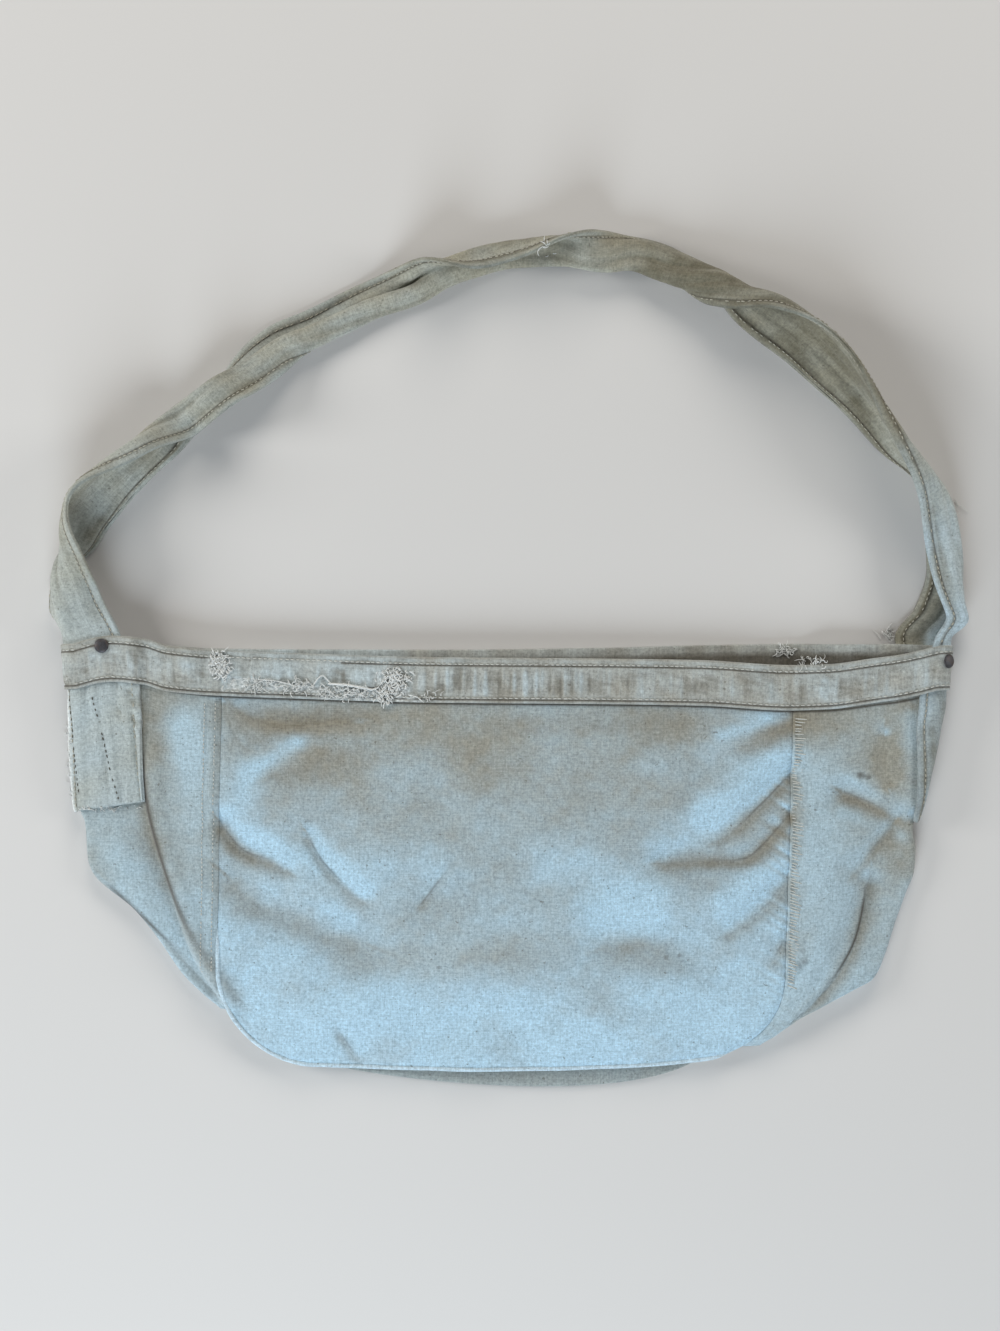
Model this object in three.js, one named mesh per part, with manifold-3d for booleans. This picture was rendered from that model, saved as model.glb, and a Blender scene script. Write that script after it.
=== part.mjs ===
// Newspaper carrier's canvas bag, lying on its back panel with the shoulder strap laid out above the mouth.
// Millimetres. +X is to the right, +Y runs from the bottom of the bag to the strap, +Z is up from the floor.
import * as THREE from 'three';
import { mergeVertices } from 'three/addons/utils/BufferGeometryUtils.js';
import Module from 'manifold-3d';

// Driving dimensions: cloth
const CANVAS = 1.6; // one wall of the bag
const HEM_CLOTH = 1.4; // each face of the folded mouth band
const STRAP_CLOTH = 3.0; // canvas doubled and sewn
const STRAP_WIDTH = 58;
const LAYER_GAP = 0.6; // air between cloths that are sewn on each other
const STRAP_GAP = 0.9; // air on each side of the strap's sewn ends, which bend round the folds
const SEAM_GAP = 0.8; // air between cloths that meet edge to edge

// Driving dimensions: panels, seen from above
const PANEL = {
  leftTop: -217.5, leftLow: -220.5, leftRadius: 76,
  rightTop: 214.5, rightLow: 207.5, rightRadius: 64,
  bottom: -307.5,
};
const FRONT_BOTTOM = { sag: 6.5, sagX: 60, rightX: 144, rightRise: 4 };
const BACK_BOTTOM = { sag: 20, sagX: 95, rightX: 144, rightRise: 4 };
const BAND_DEPTH = 32; // how far the band hangs down each face of the wall
const HEM_CAP = 2.4; // from the wall's raw edge to the band's top
const PLEAT_DEPTH = 85; // how far the bottom gusset is tucked in at mid width
const PLEAT_EASE = 220; // seam length over which the pleat reaches that depth
const PLEAT_SINK = 2; // how far its upper leaf sinks away from the front

// Driving dimensions: heights above the floor, at mid cloth
const FLAT_ON_FLOOR = CANVAS / 2;
const LAYER_STEP = CANVAS + LAYER_GAP; // from one wall to the next that lies on it
const UNDER_BAND = LAYER_GAP + HEM_CLOTH + 0.1;
const UNDER_STRAP = STRAP_GAP + STRAP_CLOTH + 0.1;
const UNDER_RIVET = 2.3;
const BODY = { level: 16, crown: 5, droop: 5, top: -30, length: 278 };
const LEFT_EDGE = { high: 14.5, low: 9.5, top: -40, over: 90, step: 16, lip: 2.5, lipWidth: 8 };
const RIGHT_EDGE = { high: 15.4, low: 8, top: -110, over: 60, from: 225, step: 75 };
const FRONT_EASE = 45; // the front settles from the mouth's height to the body's over this length
const BACK_EASE = 25; // and the back to the floor over this one
const MOUTH_EASE = 60; // the wings' sections follow the mouth's waves less and less over this one
const STRAP_RAISE = {
  left: { from: 240, over: 40, top: -30, fade: 80 }, // how the strap's ends raise the lower leaves
  right: { from: 216, over: 24, top: -132, fade: 25 },
};
const BAND_CLEAR = HEM_CAP + BAND_DEPTH + 2; // from the band's top edge to where the cloth is free of it

const FOLD_SHARE = 0.45; // the most of a leaf's width that its round fold may take

// How far a fold's visible edge stands outside the mid cloth of the gusset
const BARE = CANVAS / 2;
const TAB = BARE + STRAP_GAP + STRAP_CLOTH;
const BAND = TAB + STRAP_GAP + HEM_CLOTH;

// Rivets
const RIVET = {
  head: 5.3, headRise: 1.7, shank: 2.4, hole: 2.9, burr: 4.2, burrRise: 0.9, seat: 0.3, sides: 8,
};

// The mouth from left to right: the band's top edge in front and behind, and the height of the front cloth
const MOUTH = [
  { x: -341, front: 12, back: 12, rise: 18.5 },
  { x: -301, front: 20.4, back: 14, rise: 18.5 },
  { x: -276, front: 17.4, back: 12.5, rise: 19 },
  { x: -258, front: 11.6, back: 10.5, rise: 19.5 },
  { x: -218, front: 6.8, back: 8, rise: 16 },
  { x: -159, front: 4.5, back: 7.5, rise: 15.5 },
  { x: -60, front: 1.5, back: 7.2, rise: 16.2 },
  { x: 68, front: 0.4, back: 8.6, rise: 16.4 },
  { x: 144, front: -0.8, back: 10.6, rise: 16 },
  { x: 212, front: -4.5, back: 11.6, rise: 16.5 },
  { x: 242, front: -3.8, back: 12.1, rise: 17 },
  { x: 272, front: 0, back: 12.8, rise: 18 },
  { x: 295, front: 3, back: 13.6, rise: 18.8 },
  { x: 318, front: 8.3, back: 13.4, rise: 19 },
  { x: 333, front: 12, back: 13, rise: 19 },
];

// Outer edge of each folded wing, by the seam length from the mouth, and what covers the fold there
const LEFT_WING = [
  { down: 0, x: -340, y: 10, cover: BAND },
  { down: 32, x: -337, y: -22, cover: BAND },
  { down: 46, x: -335, y: -42, cover: TAB },
  { down: 116, x: -333, y: -110, cover: TAB },
  { down: 132, x: -323.6, y: -124, cover: BARE },
  { down: 158, x: -321.3, y: -152, cover: BARE },
  { down: 170, x: -317, y: -163, cover: BARE },
  { down: 195, x: -286, y: -190, cover: BARE },
  { down: 220, x: -268, y: -212, cover: BARE },
  { down: 245, x: -248.7, y: -239.7, cover: BARE },
  { down: 262, x: -232, y: -256, cover: BARE },
  { down: 272, x: -221, y: -266, cover: BARE },
];
const RIGHT_WING = [
  { down: 0, x: 335, y: 9.6, cover: BAND },
  { down: 32, x: 332.5, y: -22, cover: BAND },
  { down: 46, x: 329.5, y: -38, cover: TAB },
  { down: 100, x: 317.5, y: -97, cover: TAB },
  { down: 122, x: 311.5, y: -119, cover: TAB },
  { down: 134, x: 306, y: -132, cover: BARE },
  { down: 146, x: 308.4, y: -144.4, cover: BARE },
  { down: 163, x: 307.7, y: -160, cover: BARE },
  { down: 181, x: 301.3, y: -178, cover: BARE },
  { down: 203, x: 293.3, y: -200, cover: BARE },
  { down: 228, x: 284.3, y: -227, cover: BARE },
  { down: 243, x: 276.7, y: -242, cover: BARE },
  { down: 253, x: 262, y: -250, cover: BARE },
  { down: 264, x: 240, y: -262, cover: BARE },
  { down: 276, x: 218, y: -274, cover: BARE },
  { down: 300, x: 191, y: -294, cover: BARE },
];

// The ledge where the left wing drops beside the strap's tab and along its slanting fold
const LEFT_LEDGE = [
  { y: -258, x: -218 },
  { y: -227, x: -236.6 },
  { y: -182, x: -253 },
  { y: -108, x: -273.7 },
  { y: -30, x: -281 },
];

// Main folds of the front and the wings: a ridge or, below zero, a valley along a line
const FOLDS = [
  { x0: -217, y0: -36, x1: -150, y1: -50, height: -2.2, width: 13 },
  { x0: -217, y0: -128, x1: -170, y1: -160, height: -2.6, width: 13 },
  { x0: -208, y0: -171, x1: -106, y1: -224, height: -2.6, width: 20 },
  { x0: -159, y0: -133, x1: -113, y1: -182, height: -1.8, width: 12 },
  { x0: 212, y0: -44, x1: 150, y1: -80, height: -2.2, width: 13 },
  { x0: 210, y0: -92, x1: 113, y1: -156, height: -3.0, width: 14 },
  { x0: 206, y0: -171, x1: 165, y1: -203, height: -2.2, width: 13 },
  { x0: 76, y0: -214, x1: 140, y1: -225, height: -1.8, width: 20 },
  { x0: 272, y0: -172, x1: 236, y1: -250, height: -3.6, width: 11 },
  { x0: 249, y0: -103, x1: 290, y1: -120, height: -3.0, width: 11 },
  { x0: 287, y0: -132, x1: 264, y1: -158, height: -2.6, width: 11 },
];

// Where the strap's sewn ends lie on the wings: how far their front edge is before the fold, down the seam
const LEFT_TAB = {
  end: 117,
  edge: [{ down: -8, before: 33 }, { down: 34, before: 46.5 }, { down: 117, before: 49 }],
};
const RIGHT_TAB = {
  end: 125,
  edge: [
    { down: -8, before: 3 },
    { down: 34, before: 11.5 },
    { down: 95, before: 0.3 },
    { down: 125, before: -5 },
  ],
};

// The free strap from the left end to the right one. Its section is a flat band in three parts, from its
// inner to its outer edge, each with a turn of its own (degrees up from level, outward) and a soft fold
// between them.
const STRAP = [
  { x: -328, y: 42, inner: 15, middle: -58, outer: -75, foldIn: 1, foldOut: 17, lift: 4 },
  { x: -330, y: 59, inner: 5, middle: -67, outer: -85, foldIn: -1, foldOut: 16, lift: 2 },
  { x: -327, y: 77, inner: -19, middle: -78, outer: -130, foldIn: -10, foldOut: 6, lift: 0 },
  { x: -324, y: 97, inner: -44, middle: -85, outer: -150, foldIn: -20, foldOut: -2, lift: 0 },
  { x: -315, y: 115, inner: -87, middle: -112, outer: -150, foldIn: -20, foldOut: 1, lift: 0 },
  { x: -296, y: 135, inner: -54, middle: -97, outer: -145, foldIn: -17, foldOut: -1, lift: 0 },
  { x: -272, y: 157, inner: -10, middle: -78, outer: -128, foldIn: -17, foldOut: -6, lift: 0 },
  { x: -246, y: 181, inner: 20, middle: -88, outer: -185, foldIn: -5, foldOut: 9, lift: 0 },
  { x: -221, y: 196, inner: 5, middle: -115, outer: -105, foldIn: -5, foldOut: 9, lift: 0 },
  { x: -196, y: 219, inner: 9, middle: -137, outer: -25, foldIn: -5, foldOut: 8, lift: 0 },
  { x: -172, y: 240, inner: 15, middle: -146, outer: -10, foldIn: -7, foldOut: 7, lift: 0 },
  { x: -140, y: 256, inner: 150, middle: 15, outer: 5, foldIn: -6, foldOut: 10, lift: 0 },
  { x: -106, y: 274, inner: 170, middle: 60, outer: -5, foldIn: -4, foldOut: 11, lift: 0 },
  { x: -76, y: 283, inner: 172, middle: 45, outer: 30, foldIn: -2, foldOut: 12, lift: 1 },
  { x: -50, y: 292, inner: 165, middle: 40, outer: 105, foldIn: -11, foldOut: 9, lift: 1 },
  { x: -23, y: 302, inner: 178, middle: 14, outer: 158, foldIn: -10, foldOut: 10, lift: 2 },
  { x: 3, y: 309, inner: 180, middle: 18, outer: 150, foldIn: -8, foldOut: 11, lift: 2 },
  { x: 30, y: 311, inner: 165, middle: 15, outer: 122, foldIn: -8, foldOut: 13, lift: 2 },
  { x: 60, y: 311, inner: 152, middle: 28, outer: 28, foldIn: -1, foldOut: 18, lift: 2 },
  { x: 91, y: 308, inner: 168, middle: 14, outer: -72, foldIn: -9, foldOut: 12, lift: 2 },
  { x: 118, y: 299, inner: 160, middle: 10, outer: -67, foldIn: -11, foldOut: 12, lift: 2 },
  { x: 143, y: 286, inner: 83, middle: -5, outer: -92, foldIn: -14, foldOut: 7, lift: 1 },
  { x: 168, y: 273, inner: -3, middle: -75, outer: -140, foldIn: -10, foldOut: 5, lift: 0 },
  { x: 196, y: 259, inner: -20, middle: -95, outer: -145, foldIn: -19, foldOut: -6, lift: 0 },
  { x: 224, y: 242, inner: -67, middle: -113, outer: -152, foldIn: -19, foldOut: 1, lift: 0 },
  { x: 245, y: 223, inner: -80, middle: -105, outer: -148, foldIn: -22, foldOut: -4, lift: 0 },
  { x: 263, y: 204, inner: -60, middle: -90, outer: -142, foldIn: -24, foldOut: -6, lift: 0 },
  { x: 280, y: 182, inner: -20, middle: -88, outer: -134, foldIn: -22, foldOut: -4, lift: 0 },
  { x: 295, y: 160, inner: -8, middle: -88, outer: -112, foldIn: -17, foldOut: -5, lift: 0 },
  { x: 310, y: 137, inner: -5, middle: -108, outer: -75, foldIn: -14, foldOut: -2, lift: 0 },
  { x: 321, y: 113, inner: -14, middle: -95, outer: -150, foldIn: -2, foldOut: 9, lift: 0 },
  { x: 327, y: 86, inner: -6, middle: -90, outer: -166, foldIn: -3, foldOut: 7, lift: 1 },
  { x: 330, y: 60, inner: -12, middle: -88, outer: -165, foldIn: -6, foldOut: 6, lift: 1 },
  { x: 327, y: 36, inner: -12, middle: -96, outer: -172, foldIn: -14, foldOut: -4, lift: 2 },
];
const STRAP_SOFT = 12; // width of cloth that a fold takes to turn

// Where each rivet sits: past the start of the wing's fold, and below the wall's edge
const RIVETS = [
  { name: 'rivet_left', side: -1, run: -22, below: 5, burr: true },
  { name: 'rivet_right_front', side: 1, run: 3, below: 10, burr: false },
  { name: 'rivet_right_back', side: 1, run: 37, below: 8, burr: true },
];

// Facets
const FACETS = { frontColumns: 22, frontRows: 14, backColumns: 10, backRows: 6, wingRows: 21, leaf: 6,
  fold: 7, underLeaf: 3, pleatRows: 16, pleatLeaf: 3, pleatFold: 3, strapAcross: 12, strapFree: 38,
  strapJoin: 2 };

// Looks of the plain model
const CLOTHS = {
  front_panel: 0xb4c0c4, back_panel: 0xa8a698, gusset_left: 0xabb5b6, gusset_right: 0xa6afae,
  gusset_bottom: 0x989b92, mouth_band: 0x9a9d98, shoulder_strap: 0x8d8b7f,
};
const IRON = 0x55565a;

const { lerp, clamp, degToRad } = THREE.MathUtils;
const smooth = (t) => THREE.MathUtils.smoothstep(t, 0, 1);
const range = (count) => Array.from({ length: count + 1 }, (unused, i) => i);

// A smooth line through a table's rows that never overshoots them (monotone cubic)
function through(rows, along, column) {
  const xs = rows.map((row) => row[along]);
  const ys = rows.map((row) => row[column]);
  const slopes = xs.slice(1).map((x, i) => (ys[i + 1] - ys[i]) / (x - xs[i]));
  const tangents = xs.map((x, i) => {
    const before = slopes[i - 1] ?? slopes[i];
    const after = slopes[i] ?? slopes[i - 1];
    return before * after <= 0 ? 0 : (2 * before * after) / (before + after);
  });
  return (value) => {
    const x = clamp(value, xs[0], xs.at(-1));
    const next = xs.findIndex((knot) => knot > x);
    const i = next < 0 ? xs.length - 2 : next - 1;
    const span = xs[i + 1] - xs[i];
    const t = (x - xs[i]) / span;
    const ease = t * t * (3 - 2 * t);
    const leave = t * (1 - t) * (1 - t) * span * tangents[i];
    const arrive = t * t * (1 - t) * span * tangents[i + 1];
    return lerp(ys[i], ys[i + 1], ease) + leave - arrive;
  };
}

const mouthFront = through(MOUTH, 'x', 'front');
const mouthBack = through(MOUTH, 'x', 'back');
const mouthRise = through(MOUTH, 'x', 'rise');
const leftLedge = through(LEFT_LEDGE, 'y', 'x');

// Panel seams

// The seam line of a panel from above: down the left side, round the bottom and up the right side
function seamLine(mouth, { sag, sagX, rightX, rightRise }) {
  const ROUND = 0.55; // control arm of a quarter turn, as a share of its radius
  const { leftTop, leftLow, leftRadius, rightTop, rightLow, rightRadius, bottom } = PANEL;
  const leftEnd = leftLow + leftRadius;
  const rightBottom = bottom + rightRise;
  const line = new THREE.Path();
  line.moveTo(leftTop, mouth(leftTop) - HEM_CAP);
  line.lineTo(leftLow, bottom + leftRadius);
  line.bezierCurveTo(
    leftLow, bottom + (1 - ROUND) * leftRadius, leftEnd - ROUND * leftRadius, bottom, leftEnd, bottom);
  line.bezierCurveTo(-leftRadius, bottom - sag / 2, sagX, bottom - sag, rightX, rightBottom);
  line.bezierCurveTo(
    rightX + ROUND * rightRadius, rightBottom + 4, rightLow, rightBottom + (1 - ROUND) * rightRadius,
    rightLow, rightBottom + rightRadius);
  line.lineTo(rightTop, mouth(rightTop) - HEM_CAP);
  return line;
}

const frontSeam = seamLine(mouthFront, FRONT_BOTTOM);
const backSeam = seamLine(mouthBack, BACK_BOTTOM);

// A point on a seam by the share of its length, moved outward in plan
function onSeam(seam, share, outward = 0) {
  const tangent = seam.getTangent(share);
  return seam.getPoint(share).add(new THREE.Vector2(tangent.y, -tangent.x).multiplyScalar(outward));
}

// Heights

// Distance from a point to the line between a fold's two ends
function nearLine(x, y, { x0, y0, x1, y1 }) {
  const [dx, dy] = [x1 - x0, y1 - y0];
  const share = clamp(((x - x0) * dx + (y - y0) * dy) / (dx * dx + dy * dy), 0, 1);
  return Math.hypot(x - x0 - share * dx, y - y0 - share * dy);
}

function foldRelief(x, y) {
  const relief = (fold) => fold.height * Math.exp(-((nearLine(x, y, fold) / fold.width) ** 2));
  return FOLDS.reduce((sum, fold) => sum + relief(fold), 0);
}

// Height of the front and of the wings' upper leaves below the band, without the folds
function bodyHeight(x, y) {
  const v = clamp((BODY.top - y) / BODY.length, 0, 1);
  const middle = BODY.level + BODY.crown * Math.sin(Math.PI * v) - BODY.droop * v * v;
  if (x < 0) {
    const { high, low, top, over, step, lip, lipWidth } = LEFT_EDGE;
    const beyond = leftLedge(y) - x;
    const roll = lip * Math.exp(-((beyond / lipWidth + 1) ** 2));
    return lerp(middle, lerp(high, low, smooth((top - y) / over)), smooth((beyond / step) + 0.3)) + roll;
  }
  const { high, low, top, over, from, step } = RIGHT_EDGE;
  return lerp(middle, lerp(high, low, smooth((top - y) / over)), smooth((x - from) / step));
}

function frontHeight(x, y) {
  const settled = smooth((mouthFront(x) - BAND_CLEAR - y) / FRONT_EASE);
  return lerp(mouthRise(x), bodyHeight(x, y) + foldRelief(x, y), settled);
}

// Height of the back panel and of the wings' lower leaves: on the floor, raised by what lies beneath them
function backHeight(x, y) {
  const { from, over, top, fade } = x < 0 ? STRAP_RAISE.left : STRAP_RAISE.right;
  const inBand = 1 - smooth((mouthBack(x) - BAND_CLEAR - y) / BACK_EASE);
  const onStrap = smooth((Math.abs(x) - from) / over) * (1 - smooth((top - y) / fade));
  return FLAT_ON_FLOOR + inBand * UNDER_BAND + onStrap * (UNDER_STRAP + inBand * UNDER_RIVET);
}

// Solids from grids of points

function gridNormals(grid) {
  const across = (row, i) => row[Math.min(i + 1, row.length - 1)].clone().sub(row[Math.max(i - 1, 0)]);
  return grid.map((row, j) => row.map((point, i) => {
    const below = grid[Math.min(j + 1, grid.length - 1)][i];
    const above = grid[Math.max(j - 1, 0)][i];
    return below.clone().sub(above).cross(across(row, i)).normalize();
  }));
}

function solidFrom(points, triangles) {
  const geometry = new THREE.BufferGeometry();
  const values = points.flatMap((point) => point.toArray());
  geometry.setAttribute('position', new THREE.Float32BufferAttribute(values, 3));
  geometry.setIndex(triangles);
  return geometry;
}

// A closed cloth of the given thickness about a grid of mid-cloth points
function clothSolid(grid, thickness) {
  const normals = gridNormals(grid);
  const [rows, columns] = [grid.length, grid[0].length];
  const layer = (offset) => grid.flatMap(
    (row, j) => row.map((point, i) => point.clone().addScaledVector(normals[j][i], offset)));
  const points = [...layer(thickness / 2), ...layer(-thickness / 2)];
  const under = rows * columns;
  const triangles = [];
  const face = (a, b, c) => triangles.push(a, b, c, under + a, under + c, under + b);
  for (let j = 0; j < rows - 1; j += 1) {
    for (let i = 0; i < columns - 1; i += 1) {
      const [a, d] = [j * columns + i, j * columns + i + 1];
      const [b, c] = [a + columns, d + columns];
      if (grid[j][i].distanceTo(grid[j + 1][i + 1]) < grid[j + 1][i].distanceTo(grid[j][i + 1])) {
        face(a, b, c);
        face(a, c, d);
      } else {
        face(a, b, d);
        face(b, c, d);
      }
    }
  }
  const rim = [
    ...range(rows - 2).map((j) => j * columns),
    ...range(columns - 2).map((i) => (rows - 1) * columns + i),
    ...range(rows - 2).map((j) => (rows - j) * columns - 1),
    ...range(columns - 2).map((i) => columns - 1 - i),
  ];
  rim.forEach((p, k) => {
    const q = rim[(k + 1) % rim.length];
    triangles.push(q, p, under + p, q, under + p, under + q);
  });
  return solidFrom(points, triangles);
}

// A closed ring through equal sections, each a closed outline
function ringSolid(sections) {
  const count = sections[0].length;
  const triangles = [];
  sections.forEach((section, k) => {
    const next = (k + 1) % sections.length;
    section.forEach((point, m) => {
      const n = (m + 1) % count;
      const [a, b, c, d] = [k * count + m, next * count + m, next * count + n, k * count + n];
      triangles.push(a, b, c, a, c, d);
    });
  });
  return solidFrom(sections.flat(), triangles);
}

// Panels

const sideDense = (u) => u - 0.08 * Math.sin(2 * Math.PI * u);

// A panel's grid between its mouth and its seam line. The first row hangs as deep as the band.
function panelGrid({ seam, mouth, height, columns, rows, reversed }) {
  const lengths = seam.getCurveLengths();
  const total = lengths.at(-1);
  const leftCorner = (lengths[0] + lengths[1]) / 2 / total;
  const rightCorner = (lengths[2] + lengths[3]) / 2 / total;
  const { leftTop, rightTop } = PANEL;
  const topX = (s) => lerp(leftTop, rightTop, s);
  const top = (s) => new THREE.Vector2(topX(s), mouth(topX(s)) - HEM_CAP);
  const bottom = (s) => seam.getPoint(lerp(leftCorner, rightCorner, s));
  const left = (t) => seam.getPoint(lerp(0, leftCorner, t));
  const right = (t) => seam.getPoint(lerp(1, rightCorner, t));
  const firstRow = BAND_DEPTH / (leftCorner * total);
  const between = (s, t) => {
    const mix = (a, b, share) => a.clone().lerp(b, share);
    const sides = mix(left(t), right(t), s);
    const ends = mix(top(s), bottom(s), t);
    const corners = mix(mix(top(0), top(1), s), mix(bottom(0), bottom(1), s), t);
    return sides.add(ends).sub(corners);
  };
  return range(rows).map((j) => {
    const t = j === 0 ? 0 : lerp(firstRow, 1, (j - 1) / (rows - 1));
    return range(columns).map((i) => {
      const { x, y } = between(sideDense(reversed ? 1 - i / columns : i / columns), t);
      return new THREE.Vector3(x, y, height(x, y));
    });
  });
}

const frontGrid = panelGrid({ seam: frontSeam, mouth: mouthFront, height: frontHeight,
  columns: FACETS.frontColumns, rows: FACETS.frontRows, reversed: false });
const backGrid = panelGrid({ seam: backSeam, mouth: mouthBack, height: backHeight,
  columns: FACETS.backColumns, rows: FACETS.backRows, reversed: true });

// Gusset wings

// One section of a wing, from the front seam over the outward fold and back under it to the back seam
function wingSection(rows, side, down) {
  const column = (name) => through(rows, 'down', name)(down);
  const share = side < 0 ? down / frontSeam.getLength() : 1 - down / frontSeam.getLength();
  const inner = onSeam(frontSeam, share, SEAM_GAP);
  const under = onSeam(backSeam, share, SEAM_GAP);
  const edge = new THREE.Vector2(column('x'), column('y'));
  const out = edge.clone().sub(inner).normalize();
  edge.addScaledVector(out, -column('cover'));
  const halfRise = (frontHeight(edge.x, edge.y) - backHeight(edge.x, edge.y)) / 2;
  const reach = Math.min(halfRise, FOLD_SHARE * edge.distanceTo(inner));
  const bend = edge.clone().addScaledVector(out, -reach);
  const mouthShare = 1 - smooth((down - BAND_DEPTH) / MOUTH_EASE);
  const follow = (from, to, mouth, height) => (t) => {
    const start = side < 0 ? PANEL.leftTop : PANEL.rightTop;
    const point = from.clone().lerp(to, t);
    const chord = lerp(mouth(start), mouth(bend.x), clamp((point.x - start) / (bend.x - start), 0, 1));
    const y = point.y + mouthShare * (mouth(point.x) - chord);
    return new THREE.Vector3(point.x, y, height(point.x, y));
  };
  const upper = follow(inner, bend, mouthFront, frontHeight);
  const lower = follow(bend, under, mouthBack, backHeight);
  const [foldTop, foldFoot] = [upper(1), lower(0)];
  const fold = (t) => {
    const point = foldTop.clone().lerp(foldFoot, (1 - Math.cos(Math.PI * t)) / 2);
    const bulge = reach * Math.sin(Math.PI * t);
    return point.add(new THREE.Vector3(out.x * bulge, out.y * bulge, 0));
  };
  return [
    ...range(FACETS.leaf - 1).map((k) => upper(k / FACETS.leaf)),
    ...range(FACETS.fold).map((k) => fold(k / FACETS.fold)),
    ...range(FACETS.underLeaf).slice(1).map((k) => lower(k / FACETS.underLeaf)),
  ];
}

// A whole wing: sections at several seam lengths, with the outward normal at each point
function makeWing(rows, side, tab) {
  const end = rows.at(-1).down;
  const downs = range(FACETS.wingRows).map(
    (j) => (j === 0 ? 0 : lerp(BAND_DEPTH, end, (j - 1) / (FACETS.wingRows - 1))));
  const sections = downs.map((down) => wingSection(rows, side, down));
  const turned = (list) => (side < 0 ? list.map((row) => [...row].reverse()) : list);
  const grid = turned(sections);
  return { downs, sections, grid, normals: turned(gridNormals(grid)), tab };
}

const wings = { left: makeWing(LEFT_WING, -1, LEFT_TAB), right: makeWing(RIGHT_WING, 1, RIGHT_TAB) };

// A wing's section at any seam length, on its own facets, and carried straight on above the mouth
function sectionAt({ downs, sections, normals }, down) {
  const next = Math.max(downs.findIndex((value) => value >= down), 1);
  const share = (down - downs[next - 1]) / (downs[next] - downs[next - 1]);
  const mix = (rows) => rows[next - 1].map((point, i) => point.clone().lerp(rows[next][i], share));
  return { points: mix(sections), normals: mix(normals) };
}

// A layer that lies a little outside a wing's section, with the run of each point past the start of the fold
function layerOf({ points, normals }, offset) {
  const layer = points.map((point, i) => point.clone().addScaledVector(normals[i], offset));
  const lengths = layer.map((point, i) => (i === 0 ? 0 : point.distanceTo(layer[i - 1])));
  let sum = 0;
  const fromSeam = lengths.map((length) => (sum += length));
  return { layer, runs: fromSeam.map((length) => length - fromSeam[FACETS.leaf]) };
}

function alongRun(values, runs, run) {
  const next = clamp(runs.findIndex((value) => value >= run), 1, runs.length - 1);
  return values[next - 1].clone().lerp(values[next], (run - runs[next - 1]) / (runs[next] - runs[next - 1]));
}

const STRAP_OFFSET = CANVAS / 2 + STRAP_GAP + STRAP_CLOTH / 2;
const frontEdgeRun = (tab, down) => -through(tab.edge, 'down', 'before')(down);

// Bottom gusset

// The pleat's sections along the bottom seam: in under the front, round its fold and out over the back
function pleatGrid() {
  const length = frontSeam.getLength();
  const clear = 4; // seam length left free at each wing's end, and the pleat's depth there
  const start = LEFT_WING.at(-1).down + clear;
  const end = length - RIGHT_WING.at(-1).down - clear;
  return range(FACETS.pleatRows).map((j) => {
    const at = lerp(start, end, j / FACETS.pleatRows);
    const share = at / length;
    const depth = clear + PLEAT_DEPTH * smooth(Math.min(at - start, end - at) / PLEAT_EASE);
    const [rim, foot] = [onSeam(frontSeam, share), onSeam(backSeam, share)];
    const inward = onSeam(frontSeam, share, -1).sub(rim);
    const low = FLAT_ON_FLOOR + LAYER_STEP;
    const high = (x, y, t) => bodyHeight(x, y) - LAYER_STEP - PLEAT_SINK * t;
    const lifted = Math.min(foldRelief(rim.x, rim.y), 0);
    const tip = rim.clone().addScaledVector(inward, depth);
    const halfRise = (high(tip.x, tip.y, 1) + lifted - low) / 2;
    const reach = Math.min(halfRise, FOLD_SHARE * depth);
    const bend = rim.clone().addScaledVector(inward, depth - reach);
    const upper = (t) => {
      const { x, y } = rim.clone().lerp(bend, t);
      return new THREE.Vector3(x, y, high(x, y, t) + lifted);
    };
    const lower = (t) => {
      const { x, y } = bend.clone().lerp(foot, t);
      return new THREE.Vector3(x, y, low);
    };
    const fold = (t) => {
      const point = upper(1).lerp(lower(0), (1 - Math.cos(Math.PI * t)) / 2);
      const bulge = reach * Math.sin(Math.PI * t);
      return point.add(new THREE.Vector3(inward.x * bulge, inward.y * bulge, 0));
    };
    return [
      ...range(FACETS.pleatLeaf - 1).map((k) => upper(k / FACETS.pleatLeaf)),
      ...range(FACETS.pleatFold).map((k) => fold(k / FACETS.pleatFold)),
      ...range(FACETS.pleatLeaf).slice(1).map((k) => lower(k / FACETS.pleatLeaf)),
    ];
  });
}

// Mouth band

// The mouth's outline with what the band has to clear: front, right wing, back and left wing in turn
function mouthRing() {
  const panelPosts = (grid) => {
    const normals = gridNormals(grid);
    return grid[0].map((top, i) => (
      { top, foot: grid[1][i], topNormal: normals[0][i], footNormal: normals[1][i], strap: 0 }));
  };
  const wingPosts = ({ sections, normals, tab }) => {
    const { runs } = layerOf({ points: sections[0], normals: normals[0] }, STRAP_OFFSET);
    const from = Math.min(frontEdgeRun(tab, 0), frontEdgeRun(tab, BAND_DEPTH)) - SEAM_GAP;
    const to = Math.max(frontEdgeRun(tab, 0), frontEdgeRun(tab, BAND_DEPTH)) + STRAP_WIDTH + SEAM_GAP;
    const overStrap = (i) => runs[i + 1] > from && runs[i - 1] < to;
    return sections[0].map((top, i) => (
      { top, foot: sections[1][i], topNormal: normals[0][i], footNormal: normals[1][i],
        strap: overStrap(i) ? 2 * STRAP_GAP + STRAP_CLOTH - LAYER_GAP : 0 })).slice(1, -1);
  };
  return [...panelPosts(frontGrid), ...wingPosts(wings.right), ...panelPosts(backGrid),
    ...wingPosts(wings.left).reverse()];
}

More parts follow.
